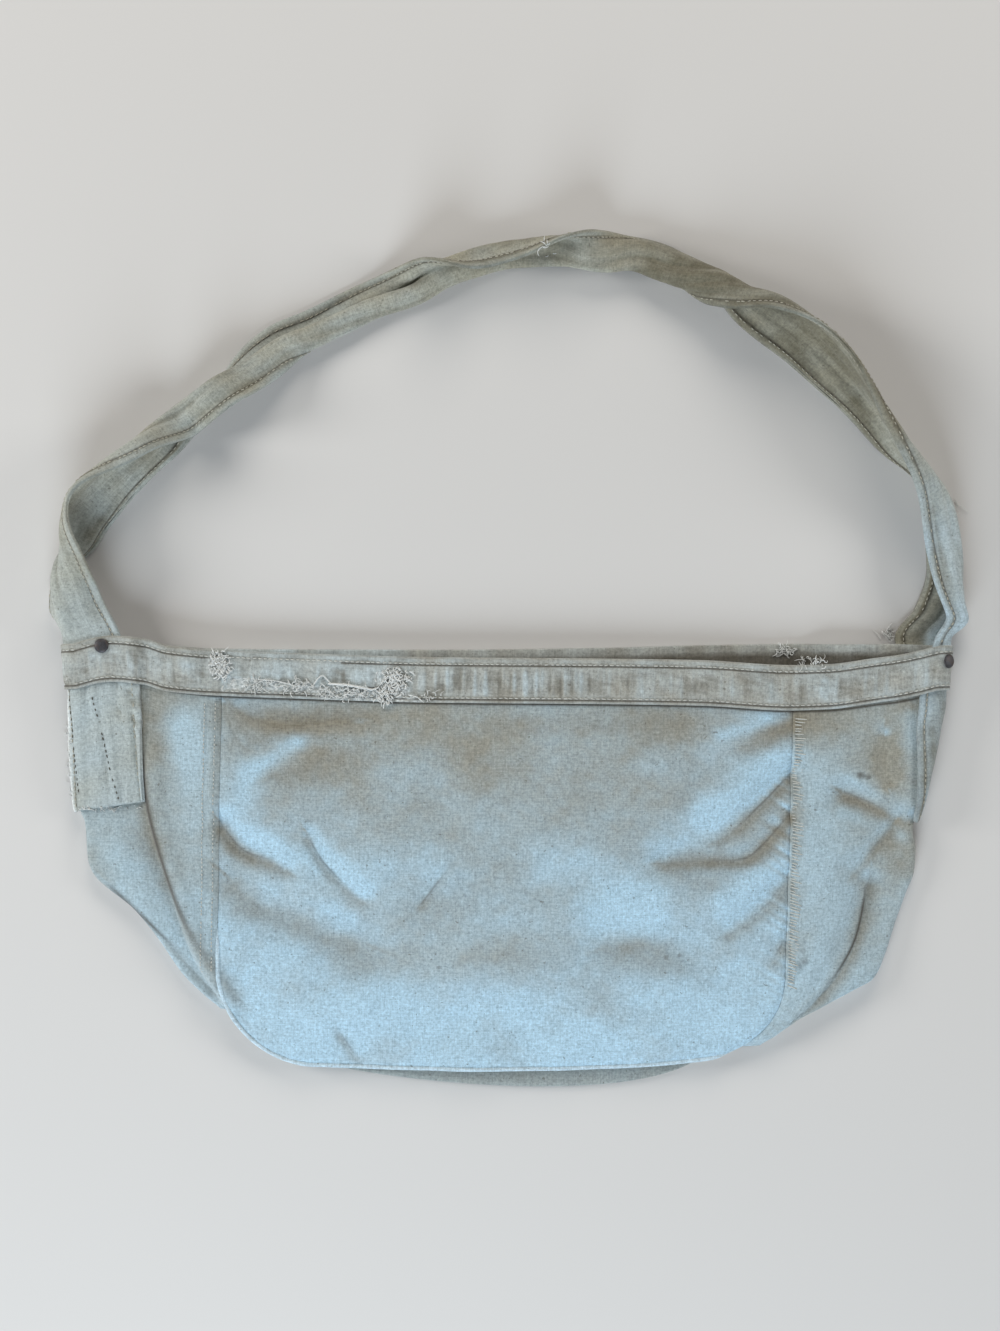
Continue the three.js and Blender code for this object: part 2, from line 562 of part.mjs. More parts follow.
// The band's section at one post: a hem folded over the wall's raw edge
function bandSection({ top, foot, topNormal, footNormal, strap }) {
  const up = top.clone().sub(foot).normalize();
  const inside = CANVAS / 2 + LAYER_GAP;
  const outside = inside + strap;
  const at = (offset, rise) => {
    const share = -Math.min(rise, 0) / BAND_DEPTH;
    const normal = topNormal.clone().lerp(footNormal, share).normalize();
    const base = top.clone().lerp(foot, share).addScaledVector(up, Math.max(rise, 0));
    return base.addScaledVector(normal, offset);
  };
  const crown = HEM_CAP - HEM_CLOTH;
  return [
    at(outside + HEM_CLOTH, -BAND_DEPTH),
    at(outside + HEM_CLOTH, crown),
    at(outside + HEM_CLOTH / 2, HEM_CAP),
    at(-inside - HEM_CLOTH / 2, HEM_CAP),
    at(-inside - HEM_CLOTH, crown),
    at(-inside - HEM_CLOTH, -BAND_DEPTH),
    at(-inside, -BAND_DEPTH), at(-inside, crown), at(outside, crown), at(outside, -BAND_DEPTH),
  ];
}

// Shoulder strap

const acrossStrap = range(FACETS.strapAcross)
  .map((k) => lerp(-0.5, 0.5, k / FACETS.strapAcross) * STRAP_WIDTH);

const ABOVE_BAND = -HEM_CAP - 4; // seam length, above the mouth, where the strap comes free of the band

// The strap's section on a wing, from its front edge round the fold
function tabSection(wing, down, widen = 0) {
  const { layer, runs } = layerOf(sectionAt(wing, down), STRAP_OFFSET);
  const middle = frontEdgeRun(wing.tab, down) + STRAP_WIDTH / 2;
  return acrossStrap.map((w) => alongRun(layer, runs, middle + w * (1 + widen / STRAP_WIDTH)));
}

function tabRows(wing) {
  const onFacets = wing.downs.filter((down) => down > 0 && down < wing.tab.end - 3).reverse();
  const downs = [wing.tab.end, ...onFacets, BAND_DEPTH / 2, 0, ABOVE_BAND];
  return downs.map((down) => tabSection(wing, down));
}

// The way out for the strap through the band's top edge
function strapSlot(wing) {
  const rows = [BAND_DEPTH / 2, 0, ABOVE_BAND].map((down) => tabSection(wing, down, 2 * SEAM_GAP));
  return clothSolid(rows, STRAP_CLOTH + 2 * LAYER_GAP);
}

// The section of the free strap: summed from its turns, centred on its route and lowered to its lift
function freeSection({ x, y, inner, middle, outer, foldIn, foldOut, lift }, heading) {
  const step = STRAP_WIDTH / FACETS.strapAcross;
  const past = (w, fold) => smooth((w - fold) / STRAP_SOFT + 0.5);
  const aside = new THREE.Vector2(-heading.y, heading.x);
  const spots = [new THREE.Vector2()];
  acrossStrap.slice(1).forEach((edge) => {
    const w = edge - step / 2;
    const turn = inner + (middle - inner) * past(w, foldIn) + (outer - middle) * past(w, foldOut);
    const along = new THREE.Vector2(step, 0).rotateAround(new THREE.Vector2(), degToRad(turn));
    spots.push(spots.at(-1).clone().add(along));
  });
  const bounds = new THREE.Box2().setFromPoints(spots);
  const centre = (bounds.min.x + bounds.max.x) / 2;
  const rest = lift + STRAP_CLOTH / 2 - bounds.min.y;
  return spots.map((spot) => {
    const out = spot.x - centre;
    return new THREE.Vector3(x + aside.x * out, y + aside.y * out, spot.y + rest);
  });
}

function freeRows() {
  let sum = 0;
  const rows = STRAP.map((row, i) => {
    sum += i === 0 ? 0 : Math.hypot(row.x - STRAP[i - 1].x, row.y - STRAP[i - 1].y);
    return { ...row, length: sum };
  });
  const names = Object.keys(STRAP[0]);
  const columns = Object.fromEntries(names.map((name) => [name, through(rows, 'length', name)]));
  const at = (length) => Object.fromEntries(names.map((name) => [name, columns[name](length)]));
  return range(FACETS.strapFree).map((k) => {
    const length = (k / FACETS.strapFree) * sum;
    const [before, after] = [at(length - 4), at(length + 4)];
    const heading = new THREE.Vector2(after.x - before.x, after.y - before.y).normalize();
    return freeSection(at(length), heading);
  });
}

function strapGrid() {
  const left = tabRows(wings.left);
  const right = tabRows(wings.right).reverse();
  const free = freeRows();
  const join = (from, to) => range(FACETS.strapJoin).slice(1).map((k) => {
    const share = k / (FACETS.strapJoin + 1);
    return from.map((point, i) => point.clone().lerp(to[i], share));
  });
  return [...left, ...join(left.at(-1), free[0]), ...free, ...join(free.at(-1), right[0]), ...right];
}

// Rivets

const WALL_INSIDE = CANVAS / 2 + LAYER_GAP + HEM_CLOTH;

function rivetPlace({ side, run, below }) {
  const section = sectionAt(side < 0 ? wings.left : wings.right, below);
  const { layer, runs } = layerOf(section, 0);
  return { point: alongRun(layer, runs, run), axis: alongRun(section.normals, runs, run).normalize() };
}

function rivetGeometry({ burr }) {
  const { head, headRise, shank, burr: burrRadius, burrRise, seat, sides } = RIVET;
  const foot = -WALL_INSIDE - seat;
  const crown = BAND + seat;
  const end = foot - burrRise;
  const tail = burr
    ? [[0, end], [burrRadius * 0.8, end], [burrRadius, (end + foot) / 2], [burrRadius, foot]]
    : [[0, foot]];
  const profile = [...tail, [shank, foot], [shank, crown], [head, crown],
    [head * 0.94, crown + headRise * 0.5],
    [head * 0.6, crown + headRise * 0.9], [0, crown + headRise]];
  return new THREE.LatheGeometry(profile.map(([x, y]) => new THREE.Vector2(x, y)), sides);
}

// Boolean cuts

const wasm = await Module();
wasm.setup();

function manifoldOf(geometry) {
  const bare = geometry.clone();
  bare.deleteAttribute('normal');
  bare.deleteAttribute('uv');
  const { attributes, index } = mergeVertices(bare, 1e-4);
  return new wasm.Manifold(new wasm.Mesh(
    { numProp: 3, vertProperties: attributes.position.array, triVerts: new Uint32Array(index.array) }));
}

function cut(geometry, tools) {
  const solid = tools.reduce((left, tool) => left.subtract(manifoldOf(tool)), manifoldOf(geometry));
  const { vertProperties, triVerts } = solid.getMesh();
  const result = new THREE.BufferGeometry();
  result.setAttribute('position', new THREE.BufferAttribute(vertProperties, 3));
  result.setIndex(new THREE.BufferAttribute(triVerts, 1));
  return result;
}

// Assembly

const UP = new THREE.Vector3(0, 1, 0);
const bag = new THREE.Group();

function addPiece(name, geometry, color, metal = false) {
  const finish = { color, roughness: metal ? 0.55 : 0.95, metalness: metal ? 0.8 : 0 };
  const mesh = new THREE.Mesh(geometry, new THREE.MeshStandardMaterial(finish));
  mesh.name = name;
  bag.add(mesh);
  return mesh;
}

const drills = RIVETS.map((rivet) => {
  const { point, axis } = rivetPlace(rivet);
  const mesh = addPiece(rivet.name, rivetGeometry(rivet), IRON, true);
  mesh.position.copy(point);
  mesh.quaternion.setFromUnitVectors(UP, axis);
  mesh.updateMatrix();
  const reach = BAND + WALL_INSIDE;
  const drill = new THREE.CylinderGeometry(RIVET.hole, RIVET.hole, reach + 3, RIVET.sides);
  drill.translate(0, (BAND - WALL_INSIDE) / 2, 0);
  return { side: rivet.side, tool: drill.applyMatrix4(mesh.matrix) };
});
const drillsOn = (side) => drills.filter((drill) => drill.side === side).map((drill) => drill.tool);
const allDrills = drills.map((drill) => drill.tool);
const slots = Object.values(wings).map(strapSlot);

const pieces = {
  front_panel: clothSolid(frontGrid, CANVAS),
  back_panel: clothSolid(backGrid, CANVAS),
  gusset_left: cut(clothSolid(wings.left.grid, CANVAS), drillsOn(-1)),
  gusset_right: cut(clothSolid(wings.right.grid, CANVAS), drillsOn(1)),
  gusset_bottom: clothSolid(pleatGrid(), CANVAS),
  mouth_band: cut(ringSolid(mouthRing().map(bandSection)), [...slots, ...allDrills]),
  shoulder_strap: cut(clothSolid(strapGrid(), STRAP_CLOTH), allDrills),
};
Object.entries(pieces).forEach(([name, geometry]) => addPiece(name, geometry, CLOTHS[name]));

export default bag;
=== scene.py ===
# %% [markdown]
# # A newspaper carrier's bag in worn canvas
# The bag is a soft box of cotton duck: a front, a back, and one long gusset strip sewn round three sides.
# A hem band binds the mouth, and a wide strap is sewn and riveted to both ends. It lies on its back, with
# the sides of the gusset folded outward and the strap laid out above the mouth. The solids of the frame
# hold the size and the main folds. The cells below dress them in cloth.

# %% Load the frame
import math

import bpy
import numpy as np
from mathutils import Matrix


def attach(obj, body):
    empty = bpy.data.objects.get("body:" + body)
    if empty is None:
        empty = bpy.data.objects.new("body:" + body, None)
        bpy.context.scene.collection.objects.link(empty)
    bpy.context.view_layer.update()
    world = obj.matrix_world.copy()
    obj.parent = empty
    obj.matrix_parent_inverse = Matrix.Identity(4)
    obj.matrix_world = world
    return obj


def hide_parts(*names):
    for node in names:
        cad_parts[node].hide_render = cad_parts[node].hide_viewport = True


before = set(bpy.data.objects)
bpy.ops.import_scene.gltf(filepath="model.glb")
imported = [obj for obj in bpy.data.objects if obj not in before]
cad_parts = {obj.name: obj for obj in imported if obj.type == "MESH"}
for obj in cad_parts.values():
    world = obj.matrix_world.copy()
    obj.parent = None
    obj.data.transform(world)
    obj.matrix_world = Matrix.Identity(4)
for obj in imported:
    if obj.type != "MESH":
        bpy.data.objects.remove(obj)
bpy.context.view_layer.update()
print("solids to dress:", ", ".join(sorted(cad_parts)))

# %% [markdown]
# ## Camera
# The picture was taken from straight above, so the camera looks down the Z axis with +Y at the top. A longer
# lens further away would flatten the strap. A 50 mm lens at 1.4 m shows the sides of the raised folds as
# much as a phone at arm's length does.

# %% Set the camera above the bag
IMAGE = (1000, 1331)  # pixels
FLOOR_PIXEL = 0.0007642  # metres of floor in a pixel
LENS, SENSOR = 50.0, 36.0
VIEW_CENTRE = (-0.0076, -0.0049)

camera_data = bpy.data.cameras.new("camera")
camera_data.lens = LENS
camera_data.sensor_width = SENSOR
camera = bpy.data.objects.new("camera", camera_data)
camera.location = (*VIEW_CENTRE, IMAGE[1] * FLOOR_PIXEL * LENS / SENSOR)
bpy.context.collection.objects.link(camera)
bpy.context.scene.camera = camera
print(f"camera {camera.location.z:.3f} m above the floor")

# %% [markdown]
# ## Floor and light
# A pale floor and four wide, soft lights stand round the bag. The light comes from the sides and little from
# above, so each raised edge of the strap throws its soft shadow inward. The lamp below the bag is cooler
# and stronger, and makes the bottom of the bag the palest part. The plain Standard view shows the colours of
# the cloth as they are mixed below, where a filmic one would grey the pale places.

# %% Lay the floor
FLOOR_SIZE = 6.0
FLOOR_COLOUR = (0.60, 0.592, 0.58, 1.0)

floor_mesh = bpy.data.meshes.new("floor")
half = FLOOR_SIZE / 2
floor_corners = [(-half, -half, 0), (half, -half, 0), (half, half, 0), (-half, half, 0)]
floor_mesh.from_pydata(floor_corners, [], [(0, 1, 2, 3)])
floor = bpy.data.objects.new("floor", floor_mesh)
bpy.context.collection.objects.link(floor)
floor_paint = bpy.data.materials.new("floor_paint")
floor_paint.use_nodes = True
floor_shader = floor_paint.node_tree.nodes["Principled BSDF"]
floor_shader.inputs["Base Color"].default_value = FLOOR_COLOUR
floor_shader.inputs["Roughness"].default_value = 0.9
floor_mesh.materials.append(floor_paint)

# %% Hang the lights
def hang_light(name, place, size, watts, colour):
    lamp = bpy.data.lights.new(name, "AREA")
    lamp.shape = "DISK"
    lamp.size = size
    lamp.energy = watts
    lamp.color = colour
    holder = bpy.data.objects.new(name, lamp)
    holder.location = place
    x, y, z = place
    holder.rotation_euler = (math.atan2(math.hypot(x, y), z), 0, math.atan2(x, -y))
    bpy.context.collection.objects.link(holder)


hang_light("window_below", (-0.35, -1.9, 1.12), 1.4, 46, (0.85, 0.93, 1.0))
hang_light("window_left", (-1.9, 0.35, 0.85), 0.8, 26, (0.99, 0.98, 0.96))
hang_light("window_right", (1.9, 0.2, 0.85), 0.8, 15, (0.99, 0.98, 0.96))
hang_light("room_above", (0.2, 1.9, 1.1), 1.2, 23, (1.0, 0.95, 0.88))

world = bpy.data.worlds.new("studio")
world.use_nodes = True
background = world.node_tree.nodes["Background"]
background.inputs["Color"].default_value = (0.96, 0.98, 1.0, 1.0)
background.inputs["Strength"].default_value = 0.07
bpy.context.scene.world = world
bpy.context.scene.view_settings.view_transform = "Standard"
print(f"floor {FLOOR_SIZE:.0f} m wide, four lamps round it")

# %% [markdown]
# ## Small tools
# Cloth is easiest to shape as a grid of points in millimetres, worked out by functions of the place on the
# bag. A table holds the measures that a tailor would take, and a smooth line through its rows gives every
# place between them. The line never overshoots its rows, so a wave that isn't there is never added.

# %% Smooth steps, mixes and lines through tables
MM = 0.001


def mix(a, b, share):
    return a + (b - a) * share


def smooth(t):
    t = np.clip(t, 0.0, 1.0)
    return t * t * (3 - 2 * t)


def table(columns, rows):
    return dict(zip(columns.split(), np.array(rows, float).T))


def through(knots, values):
    slopes = np.diff(values) / np.diff(knots)
    before, after = np.r_[slopes[0], slopes], np.r_[slopes, slopes[-1]]
    same_way = before * after > 0
    tangents = np.where(same_way, 2 * before * after / np.where(same_way, before + after, 1), 0)

    def line(x):
        x = np.clip(x, knots[0], knots[-1])
        i = np.clip(np.searchsorted(knots, x, side="right") - 1, 0, len(knots) - 2)
        span = knots[i + 1] - knots[i]
        t = (x - knots[i]) / span
        leave = t * (1 - t) ** 2 * span * tangents[i]
        arrive = t * t * (1 - t) * span * tangents[i + 1]
        return mix(values[i], values[i + 1], t * t * (3 - 2 * t)) + leave - arrive

    return line


# %% Directions and lengths along lines of points
def unit(vectors):
    return vectors / np.linalg.norm(vectors, axis=-1, keepdims=True)


def runs_along(points):
    return np.r_[0, np.cumsum(np.linalg.norm(np.diff(points, axis=0), axis=1))]


def along_run(values, runs, run):
    return np.stack([np.interp(run, runs, column) for column in values.T], -1)


# %% Waves that look random and are the same each time
def ripple(x, y, length, seed, waves=9):
    draw = np.random.default_rng(seed)
    total = np.zeros(np.broadcast(x, y).shape)
    for _ in range(waves):
        angle, phase = draw.uniform(0, 2 * math.pi, 2)
        turn = 2 * math.pi / (length * draw.uniform(0.6, 1.6))
        total += np.sin((x * math.cos(angle) + y * math.sin(angle)) * turn + phase)
    return total / math.sqrt(waves)


# %% [markdown]
# ## Sizes
# The sizes are those of the solids: a panel 432 mm wide between its seams, a band 32 mm deep, a strap 58 mm
# wide. They are repeated here because the cloth has to lie where the solids are. One differs: the back's
# lower edge hangs a few millimetres lower, as soft cloth does.

# %% Sizes of the cloths
CANVAS, HEM_CLOTH, STRAP_CLOTH, STRAP_WIDTH = 1.6, 1.4, 3.0, 58.0
LAYER_GAP, STRAP_GAP, SEAM_GAP = 0.6, 0.9, 0.8
LEFT_TOP, LEFT_LOW, LEFT_RADIUS = -217.5, -220.5, 76.0
RIGHT_TOP, RIGHT_LOW, RIGHT_RADIUS = 214.5, 207.5, 64.0
BOTTOM, RIGHT_CORNER_X, RIGHT_CORNER_RISE = -307.5, 144.0, 4.0
FRONT_SAG, BACK_SAG = (6.5, 60.0), (32.0, 95.0)
BAND_DEPTH, HEM_CAP = 32.0, 2.4
BAND_CLEAR = HEM_CAP + BAND_DEPTH + 2

# %% The mouth: where the band's top edge runs in front and behind, and how high the front lies
MOUTH = table("x front back rise", [
    (-341, 12, 12, 18.5), (-301, 20.4, 14, 18.5), (-276, 17.4, 12.5, 19), (-258, 11.6, 10.5, 19.5),
    (-218, 6.8, 8, 16), (-159, 4.5, 7.5, 15.5), (-60, 1.5, 7.2, 16.2), (68, 0.4, 8.6, 16.4),
    (144, -0.8, 10.6, 16), (212, -4.5, 11.6, 16.5), (242, -3.8, 12.1, 17), (272, 0, 12.8, 18),
    (295, 3, 13.6, 18.8), (318, 8.3, 13.4, 19), (333, 12, 13, 19),
])
mouth_front = through(MOUTH["x"], MOUTH["front"])
mouth_back = through(MOUTH["x"], MOUTH["back"])
mouth_rise = through(MOUTH["x"], MOUTH["rise"])


# %% The seam line of a panel: down the left side, round the bottom and up the right side
def bezier(a, b, c, d, count=80):
    t = np.linspace(0, 1, count)[:, None]
    corners = [np.array(corner, float) for corner in (a, b, c, d)]
    weights = ((1 - t) ** 3, 3 * (1 - t) ** 2 * t, 3 * (1 - t) * t * t, t ** 3)
    return sum(weight * corner for weight, corner in zip(weights, corners))


def seam_line(mouth, sag, sag_x, arm=0.55):
    left_end, right_low = LEFT_LOW + LEFT_RADIUS, BOTTOM + RIGHT_CORNER_RISE
    legs = [
        np.array([(LEFT_TOP, mouth(LEFT_TOP) - HEM_CAP), (LEFT_LOW, BOTTOM + LEFT_RADIUS)]),
        bezier((LEFT_LOW, BOTTOM + LEFT_RADIUS), (LEFT_LOW, BOTTOM + (1 - arm) * LEFT_RADIUS),
               (left_end - arm * LEFT_RADIUS, BOTTOM), (left_end, BOTTOM)),
        bezier((left_end, BOTTOM), (-LEFT_RADIUS, BOTTOM - sag / 2), (sag_x, BOTTOM - sag),
               (RIGHT_CORNER_X, right_low)),
        bezier((RIGHT_CORNER_X, right_low), (RIGHT_CORNER_X + arm * RIGHT_RADIUS, right_low + 4),
               (RIGHT_LOW, right_low + (1 - arm) * RIGHT_RADIUS), (RIGHT_LOW, right_low + RIGHT_RADIUS)),
        np.array([(RIGHT_LOW, right_low + RIGHT_RADIUS), (RIGHT_TOP, mouth(RIGHT_TOP) - HEM_CAP)]),
    ]
    points = np.concatenate(legs)
    at = runs_along(points)
    ends = at[np.cumsum([len(leg) for leg in legs]) - 1]
    return {"points": points, "at": at, "length": at[-1], "ends": ends}


def on_seam(seam, share, outward=0.0):
    at = np.asarray(share) * seam["length"]
    before, here, after = (along_run(seam["points"], seam["at"], at + step) for step in (-0.5, 0, 0.5))
    ahead = unit(after - before)
    return here + outward * np.stack([ahead[..., 1], -ahead[..., 0]], -1)


front_seam = seam_line(mouth_front, *FRONT_SAG)
back_seam = seam_line(mouth_back, *BACK_SAG)
print(f"front seam {front_seam['length']:.0f} mm, back seam {back_seam['length']:.0f} mm")

# %% [markdown]
# ## Heights
# The bag is empty, so the front lies 10 to 20 mm above the floor on the tucked gusset, higher in the middle.
# Creases run in from the seams where the cloth was pulled. Each is a rounded line through a few points, steep
# on one side and gentle on the other, as cloth that is pushed together is. The same lines darken the cloth
# later, partly as dirt that gathers in them and partly as painted shade, and the sharp ones get a thin dark
# line of painted shade. A sculpt brush could draw such creases by hand, but a table can be changed number by
# number.

# %% Main folds, as on the solids, and finer creases that only the cloth has
FOLDS = table("x0 y0 x1 y1 amount wide", [
    (-217, -36, -150, -50, -2.2, 13), (-217, -128, -170, -160, -2.6, 13),
    (-208, -171, -106, -224, -2.6, 20), (-159, -133, -113, -182, -1.8, 12), (212, -44, 150, -80, -2.2, 13),
    (210, -92, 113, -156, -3.0, 14), (206, -171, 165, -203, -2.2, 13), (76, -214, 140, -225, -1.8, 20),
    (272, -172, 236, -250, -3.6, 11), (249, -103, 290, -120, -3.0, 11), (287, -132, 264, -158, -2.6, 11),
])


def rounded(points, times=2):
    points = np.array(points, float)
    for _ in range(times):
        cuts = np.stack([mix(points[:-1], points[1:], 0.25), mix(points[:-1], points[1:], 0.75)], axis=1)
        points = np.concatenate([points[:1], cuts.reshape(-1, 2)[1:-1], points[-1:]])
    return points


def crease(depth, wide, tan, crisp, points, gentle=(0, 1), step=0.0, broad=1.0):
    return {"depth": depth, "wide": wide, "tan": tan, "crisp": crisp, "points": rounded(points),
            "gentle": np.array(gentle, float), "step": step, "broad": broad}


# Depth and width in millimetres, how tan (dirt and painted shade), how sharp (its dark line of painted
# shade), the line, its gentle side, a step and a broader line
CREASES = [
    crease(1.3, 6, 1.0, 0.15,
           [(-213, -33), (-201, -43), (-188, -48), (-164, -51), (-143, -48), (-122, -47)], (0, -1)),
    crease(0.9, 5, 0.4, 0.20, [(-217, -33), (-209, -58), (-198, -72), (-178, -66)], (0, -1)),
    crease(0.8, 9, 0.5, 0.00, [(-172, -84), (-150, -73), (-116, -66)], (0, 1)),
    crease(1.7, 5, 1.3, 0.60, [(-217, -126), (-206, -142), (-196, -148), (-184, -150), (-170, -159)]),
    crease(1.4, 4, 0.6, 0.70, [(-152, -135), (-143, -152), (-128, -167), (-113, -181)], (1, 1)),
    crease(1.2, 10, 0.6, 0.00, [(-208, -169), (-191, -184), (-171, -191), (-143, -202), (-115, -213)]),
    crease(0.5, 3, 0.4, 0.70, [(-68, -186), (-42, -152)], (-1, 1)),
    crease(1.2, 7, 0.8, 0.10, [(213, -39), (207, -48), (193, -57), (180, -64)]),
    crease(1.9, 4.5, 0.8, 0.85, [(211, -88), (197, -103), (184, -115), (174, -125), (158, -136)], (-1, 1)),
    crease(1.7, 4.5, 1.1, 0.75,
           [(210, -118), (200, -130), (190, -141), (178, -152), (150, -152), (116, -154)], (-1, 1)),
    crease(1.1, 5, 0.6, 0.35, [(207, -168), (191, -190), (166, -206)], (-1, 1)),
    crease(0.9, 4, 0.5, 0.50, [(206, -214), (199, -227)], (-1, 1)),
    crease(0.8, 9, 0.3, 0.00, [(76, -216), (106, -205), (143, -238)]),
    crease(0.9, 3.5, 0.5, 0.50, [(-128, -284), (-117, -301)], (1, 0)),
    crease(1.4, 5, 0.9, 1.50,
           [(271, -171), (267, -195), (261, -215), (250, -234), (238, -250), (217, -270)], (-1, 0), 3.2, 1.4),
    crease(1.8, 5, 0.9, 0.50, [(254, -101), (272, -108), (299, -122)], (0, 1)),
    crease(1.6, 4, 0.5, 0.40, [(289, -128), (276, -142), (261, -161)], (-1, 1)),
    crease(1.8, 4, 0.1, 0.00, [(283, -58), (284, -74), (286, -92)], (-1, 0)),
    crease(-2.0, 5, 0.0, 0.00, [(301, -40), (301, -112)], (-1, 0)),
    crease(0.3, 5, 1.1, 1.60,
           [(-281, -36), (-276, -100), (-267, -137), (-258, -168), (-245, -200), (-222, -234), (-206, -254)],
           (1, 0), 0.0, 2.6),
    crease(0.6, 3, 0.5, 1.20, [(-306, -170), (-284, -190), (-256, -217), (-224, -251)], (1, 1), 1.6, 1.6),
]
CREASE_DEPTH = 1.6  # deepens all of them
CREASE_REACH = 32.0  # millimetres beyond which a crease does nothing
FAR = 1e3
LEFT_LEDGE = table("y x", [(-258, -218), (-227, -236.6), (-182, -253), (-108, -273.7), (-30, -281)])
left_ledge = through(LEFT_LEDGE["y"], LEFT_LEDGE["x"])
print(f"{len(FOLDS['x0'])} broad folds, {len(CREASES)} creases")


# %% How far a place is from each line of a table, and on which side of it
def rows_of(columns):
    return [dict(zip(columns, values)) for values in zip(*columns.values())]


def near_line(x, y, row):
    dx, dy = row["x1"] - row["x0"], row["y1"] - row["y0"]
    along = np.clip(((x - row["x0"]) * dx + (y - row["y0"]) * dy) / (dx * dx + dy * dy), 0, 1)
    return np.hypot(x - row["x0"] - along * dx, y - row["y0"] - along * dy), along


def near_path(x, y, row):
    x, y = np.broadcast_arrays(x, y)
    points = row["points"]
    low, high = points.min(axis=0) - CREASE_REACH, points.max(axis=0) + CREASE_REACH
    inside = (x > low[0]) & (x < high[0]) & (y > low[1]) & (y < high[1])
    px, py = x[inside], y[inside]
    away, side, share = np.full(px.shape, FAR), np.full(px.shape, FAR), np.zeros(px.shape)
    for k, ((x0, y0), (x1, y1)) in enumerate(zip(points, points[1:])):
        from_leg, along = near_line(px, py, {"x0": x0, "y0": y0, "x1": x1, "y1": y1})
        normal = np.array([y0 - y1, x1 - x0]) / math.hypot(x1 - x0, y1 - y0)
        normal = normal * (1 if normal @ row["gentle"] > 0 else -1)
        closer = from_leg < away
        side = np.where(closer, np.sign((px - x0) * normal[0] + (py - y0) * normal[1]) * from_leg, side)
        share = np.where(closer, (k + along) / (len(points) - 1), share)
        away = np.minimum(away, from_leg)
    all_side, all_share = np.full(x.shape, FAR), np.zeros(x.shape)
    all_side[inside], all_share[inside] = side, share
    return all_side, all_share


# %% Relief: broad folds, soft waves, puckers along the right seam, and creases
def soft_lines(x, y, columns):
    rows = rows_of(columns)
    away = [near_line(x, y, row)[0] / row["wide"] for row in rows]
    return sum(row["amount"] * np.exp(-far ** 2) for far, row in zip(away, rows))


def fold_relief(x, y):
    return soft_lines(x, y, FOLDS)


def soft_waves(x, y):
    return 0.07 * ripple(x, y, 16, 3) + 0.28 * ripple(x, y, 36, 4) + 0.95 * ripple(x, y, 80, 5)


def seam_puckers(x, y):
    puckers = 0.42 * ripple(0 * x, y + 0.6 * x, 10, 6) * np.exp(-((x - 211) / 17) ** 2)
    return puckers * smooth((214 - x) / 4) * smooth((-70 - y) / 30)


def crease_relief(x, y, waves=1.0):
    total = waves * soft_waves(x, y) + seam_puckers(x, y)
    for row in CREASES:
        side, share = near_path(x, y, row)
        wide = row["wide"] * np.where(side > 0, 2.0, 1.0)
        fade = 1 - 0.5 * share
        total -= CREASE_DEPTH * row["depth"] * fade * np.exp(-(side / wide) ** 2)
        total += row["step"] * np.tanh(side / 1.5) / 2 * np.exp(-abs(side) / (2.5 * row["wide"]))
    return total


# %% Heights of the front with the upper leaves, and of the back with the lower leaves
def body_height(x, y):
    down = np.clip((-30 - y) / 278, 0, 1)
    middle = 16 + 5 * np.sin(np.pi * down) - 5 * down * down
    beyond = left_ledge(y) - x
    left_edge = mix(14.5, 9.5, smooth((-40 - y) / 90))
    left = mix(middle, left_edge, smooth(beyond / 6 + 0.4)) + 2.4 * np.exp(-(beyond / 7 + 1) ** 2)
    right_edge = mix(15.4, 8, smooth((-110 - y) / 60))
    right = mix(middle, right_edge, smooth((x - 225) / 75))
    return np.where(x < 0, left, right)


def front_height(x, y):
    settled = smooth((mouth_front(x) - BAND_CLEAR - y) / 45)
    relief = fold_relief(x, y) + crease_relief(x, y) * smooth((mouth_front(x) - BAND_CLEAR + 6 - y) / 8)
    return mix(mouth_rise(x), body_height(x, y), settled) + relief * np.maximum(settled, 0.35)


def back_height(x, y):
    in_band = 1 - smooth((mouth_back(x) - BAND_CLEAR - y) / 25)
    on_left = smooth((-x - 240) / 40) * (1 - smooth((-30 - y) / 80))
    on_right = smooth((x - 216) / 24) * (1 - smooth((-132 - y) / 25))
    under_band, under_strap, under_rivet = LAYER_GAP + HEM_CLOTH + 0.1, STRAP_GAP + STRAP_CLOTH + 0.1, 2.3
    return CANVAS / 2 + in_band * under_band + (on_left + on_right) * (under_strap + in_band * under_rivet)


# %% [markdown]
# ## Canvas
# Worn duck is not one colour. The yarns differ, the bottom has been washed and bleached to a pale grey, the
# top is tan from hands, and the creases hold brown dirt. Part of this is painted light and shade: the blue of
# the bottom and the change from bottom to top are partly the cool lamp below painted in, and the creases are
# partly painted shade. An image could carry all that, but it would fix the size of the weave. Here each point
# of the cloth carries its place on the flat cloth and five numbers: how pale (bleaching and painted light),
# how grimy (dirt and painted shade) and how raw it is, how far it is from a dark mark (lines of painted
# shade, and dirt spots), and how strong that mark is. The nodes turn them into colour, yarn and weave.

# %% Node helpers
def feed(tree, node, inputs):
    for name, value in inputs.items():
        if isinstance(value, bpy.types.NodeSocket):
            tree.links.new(value, node.inputs[name])
        else:
            node.inputs[name].default_value = value


def add_node(tree, kind, inputs=None, **settings):
    made = tree.nodes.new(kind)
    for name, value in settings.items():
        setattr(made, name, value)
    feed(tree, made, inputs or {})
    return made


def sums(tree, operation, *values, clamp=False):
    made = add_node(tree, "ShaderNodeMath", dict(enumerate(values)), operation=operation, use_clamp=clamp)
    return made.outputs[0]


def blend(tree, share, a, b, mode="MIX"):
    made = add_node(tree, "ShaderNodeMix", {0: share, 6: a, 7: b}, data_type="RGBA", blend_type=mode)
    return made.outputs[2]


def noise(tree, vector, scale, detail=4.0, rough=0.55):
    settings = {"Vector": vector, "Scale": scale, "Detail": detail, "Roughness": rough}
    return add_node(tree, "ShaderNodeTexNoise", settings).outputs["Fac"]


